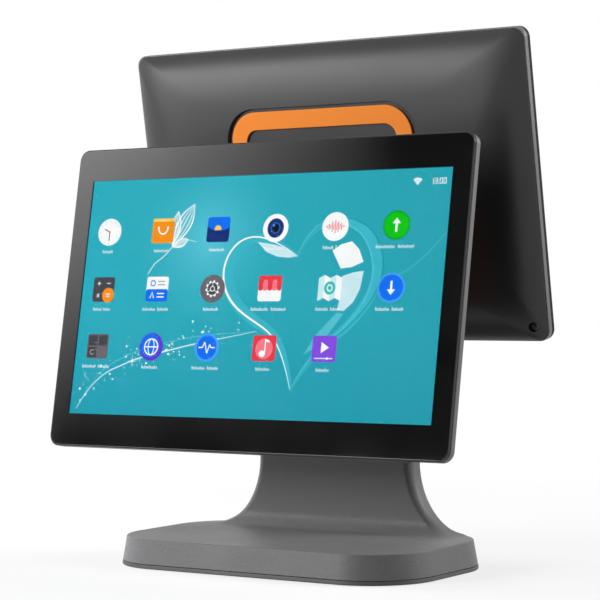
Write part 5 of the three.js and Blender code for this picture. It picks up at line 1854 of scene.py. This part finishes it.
@dataclass
class Studio:
    """Camera, floor, lamps and background."""

    location: tuple[float, float, float] = (1.00028, -1.47709, 0.23569)
    azimuth: float = 34.01
    elevation: float = -0.707
    roll: float = -0.649
    lens: float = 133.0
    sensor: float = 36.0
    floor_radius: float = 9.0
    floor_rings: tuple[float, ...] = (0.05, 0.2, 0.5, 1.0, 2.0, 4.0)
    fade: tuple[float, float] = (0.25, 0.8)
    near_share: float = 0.7
    ambient: float = 0.07
    lamps: tuple[Softbox, ...] = (
        Softbox("key", -84, 11, 1.9, 1.0, 52, mirrored=False),
        Softbox("front_left", -36, 15, 1.9, 0.75, 29),
        Softbox("side", 121, 26, 1.9, 0.9, 31),
    )
    card_level: float = 4.2
    card_distance: float = 1.3
    card_grid: int = 9
    card_margin: float = 1.12

    def build(self, glass: Display) -> None:
        """Sets the whole studio.

        Args:
            glass: The display whose glass mirrors the graded card.
        """
        low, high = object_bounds()
        self.camera()
        for lamp in self.lamps:
            lamp.build((low + high) / 2)
        self.floor()
        self.world()
        self.card(glass)
        bpy.context.scene.view_settings.view_transform = "Standard"

    def camera(self) -> None:
        """The camera, turned by azimuth, elevation and a slight roll."""
        a, e, r = (math.radians(v) for v in (self.azimuth, self.elevation, self.roll))
        forward = Vector((-math.sin(a) * math.cos(e), math.cos(a) * math.cos(e), math.sin(e)))
        level = Vector((math.cos(a), math.sin(a), 0))
        upright = level.cross(forward)
        right = level * math.cos(r) + upright * math.sin(r)
        turn = Matrix((right, right.cross(forward), -forward)).transposed()
        data = bpy.data.cameras.new("camera")
        data.lens, data.sensor_width, data.clip_start, data.clip_end = self.lens, self.sensor, 0.05, 60
        camera = linked("camera", data)
        camera.matrix_world = Matrix.Translation(self.location) @ turn.to_4x4()
        bpy.context.scene.camera = camera

    @staticmethod
    def seen(nodes: Nodes) -> Socket:
        """1 for rays from the camera, a mirror or clear glass."""
        path = nodes.add("LightPath").outputs
        either = nodes.math("MAXIMUM", path["Is Camera Ray"], path["Is Glossy Ray"])
        return nodes.math("MAXIMUM", either, path["Is Transmission Ray"])

    def floor(self) -> None:
        """A pale floor that shows the shadow near the object and fades to the white background."""
        radii, sides = np.array([*self.floor_rings, self.floor_radius])[:, None], 96
        row = np.arange(len(radii) - 1)
        faces = [range(sides), *ring_quads(row + 1, row, sides).tolist()]
        floor = new_object("floor", along(Axis.Z, oval((0, 0), radii, radii, full_turn(sides)), 0), faces)
        nodes = Nodes(bpy.data.materials.new("pale_floor"))
        seen = self.seen(nodes)
        away = nodes.remap(nodes.length(nodes.place()), *self.fade, self.near_share, 1)
        lit = nodes.add("BsdfDiffuse", {"Color": nodes.mix(seen, grey(0.25), grey(0.9))}).outputs[0]
        white = nodes.add("Emission", {"Color": grey(1.0), "Strength": 1.0}).outputs[0]
        blend = nodes.add("MixShader", {0: nodes.math("MULTIPLY", away, seen), 1: lit, 2: white})
        floor.data.materials.append(nodes.finish(blend))
        floor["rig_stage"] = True

    def world(self) -> None:
        """White background for what is seen, and a low even light for the rest."""
        bpy.context.scene.world = bpy.data.worlds.new("studio")
        nodes = Nodes(bpy.context.scene.world)
        strength = nodes.remap(self.seen(nodes), 0, 1, self.ambient, 1)
        background = nodes.add("Background", {"Color": grey(1.0), "Strength": strength})
        nodes.add("OutputWorld", {"Surface": background.outputs[0]})

    def card(self, display: Display) -> None:
        """A graded card that only mirrors see. Each of its points is where the camera's ray to a point of the
        glass goes after its mirroring, so the card's own grid runs as the glass's does.
        """
        count = self.card_grid
        steps = np.linspace(-self.card_margin, self.card_margin, count)
        u, v = np.meshgrid(steps, steps)
        local = np.stack([u * display.half_w, np.zeros_like(u), v * display.half_h], -1).reshape(-1, 3) * MM
        place = np.array(display.place)
        points = local @ place[:3, :3].T + place[:3, 3]
        normal = -place[:3, 1]
        ray = points - np.array(self.location)
        ray /= np.linalg.norm(ray, axis=1, keepdims=True)
        bounced = ray - 2 * (ray @ normal)[:, None] * normal
        grid = np.arange(count * count).reshape(count, count)
        quads = np.stack([grid[:-1, :-1], grid[:-1, 1:], grid[1:, 1:], grid[1:, :-1]], -1).reshape(-1, 4)
        card = new_object("graded_card", points + bounced * self.card_distance, quads.tolist())
        add_uv(card.data, "card", np.stack([u.ravel(), v.ravel()], -1) / 2 + 0.5)
        nodes = Nodes(bpy.data.materials.new("graded_card"))
        parts = nodes.add("SeparateXYZ", {0: nodes.add("UVMap", uv_map="card").outputs[0]}).outputs
        leftward = nodes.remap(parts[0], 0.06, 0.82, 1, 0)
        upward = nodes.remap(parts[1], 0.0, 0.98, 0, 1)
        level = nodes.math("MULTIPLY", nodes.math("POWER", leftward, 1.1), nodes.math("POWER", upward, 1.1))
        level = nodes.math("MULTIPLY", level, self.card_level)
        card.data.materials.append(nodes.finish(nodes.add("Emission", {"Strength": level})))
        for way in ("camera", "diffuse", "transmission", "shadow", "volume_scatter"):
            setattr(card, f"visible_{way}", False)
        card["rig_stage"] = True


def main() -> None:
    """Builds the terminal round its frame, then its studio."""
    logging.basicConfig(level=logging.INFO, format="%(name)s: %(message)s")
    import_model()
    Stand().build()
    cashier = Display("main", "main_display", 1, 10.8, WALLPAPER, HomeScreen(), has_button=True)
    customer = Display("customer", "customer_display", -1, 9.04, QUIET_WALLPAPER, PriceScreen())
    for display in (cashier, customer):
        display.build()
        LOG.info("%s display built", display.label)
    Studio().build(cashier)


if __name__ == "__main__":
    main()
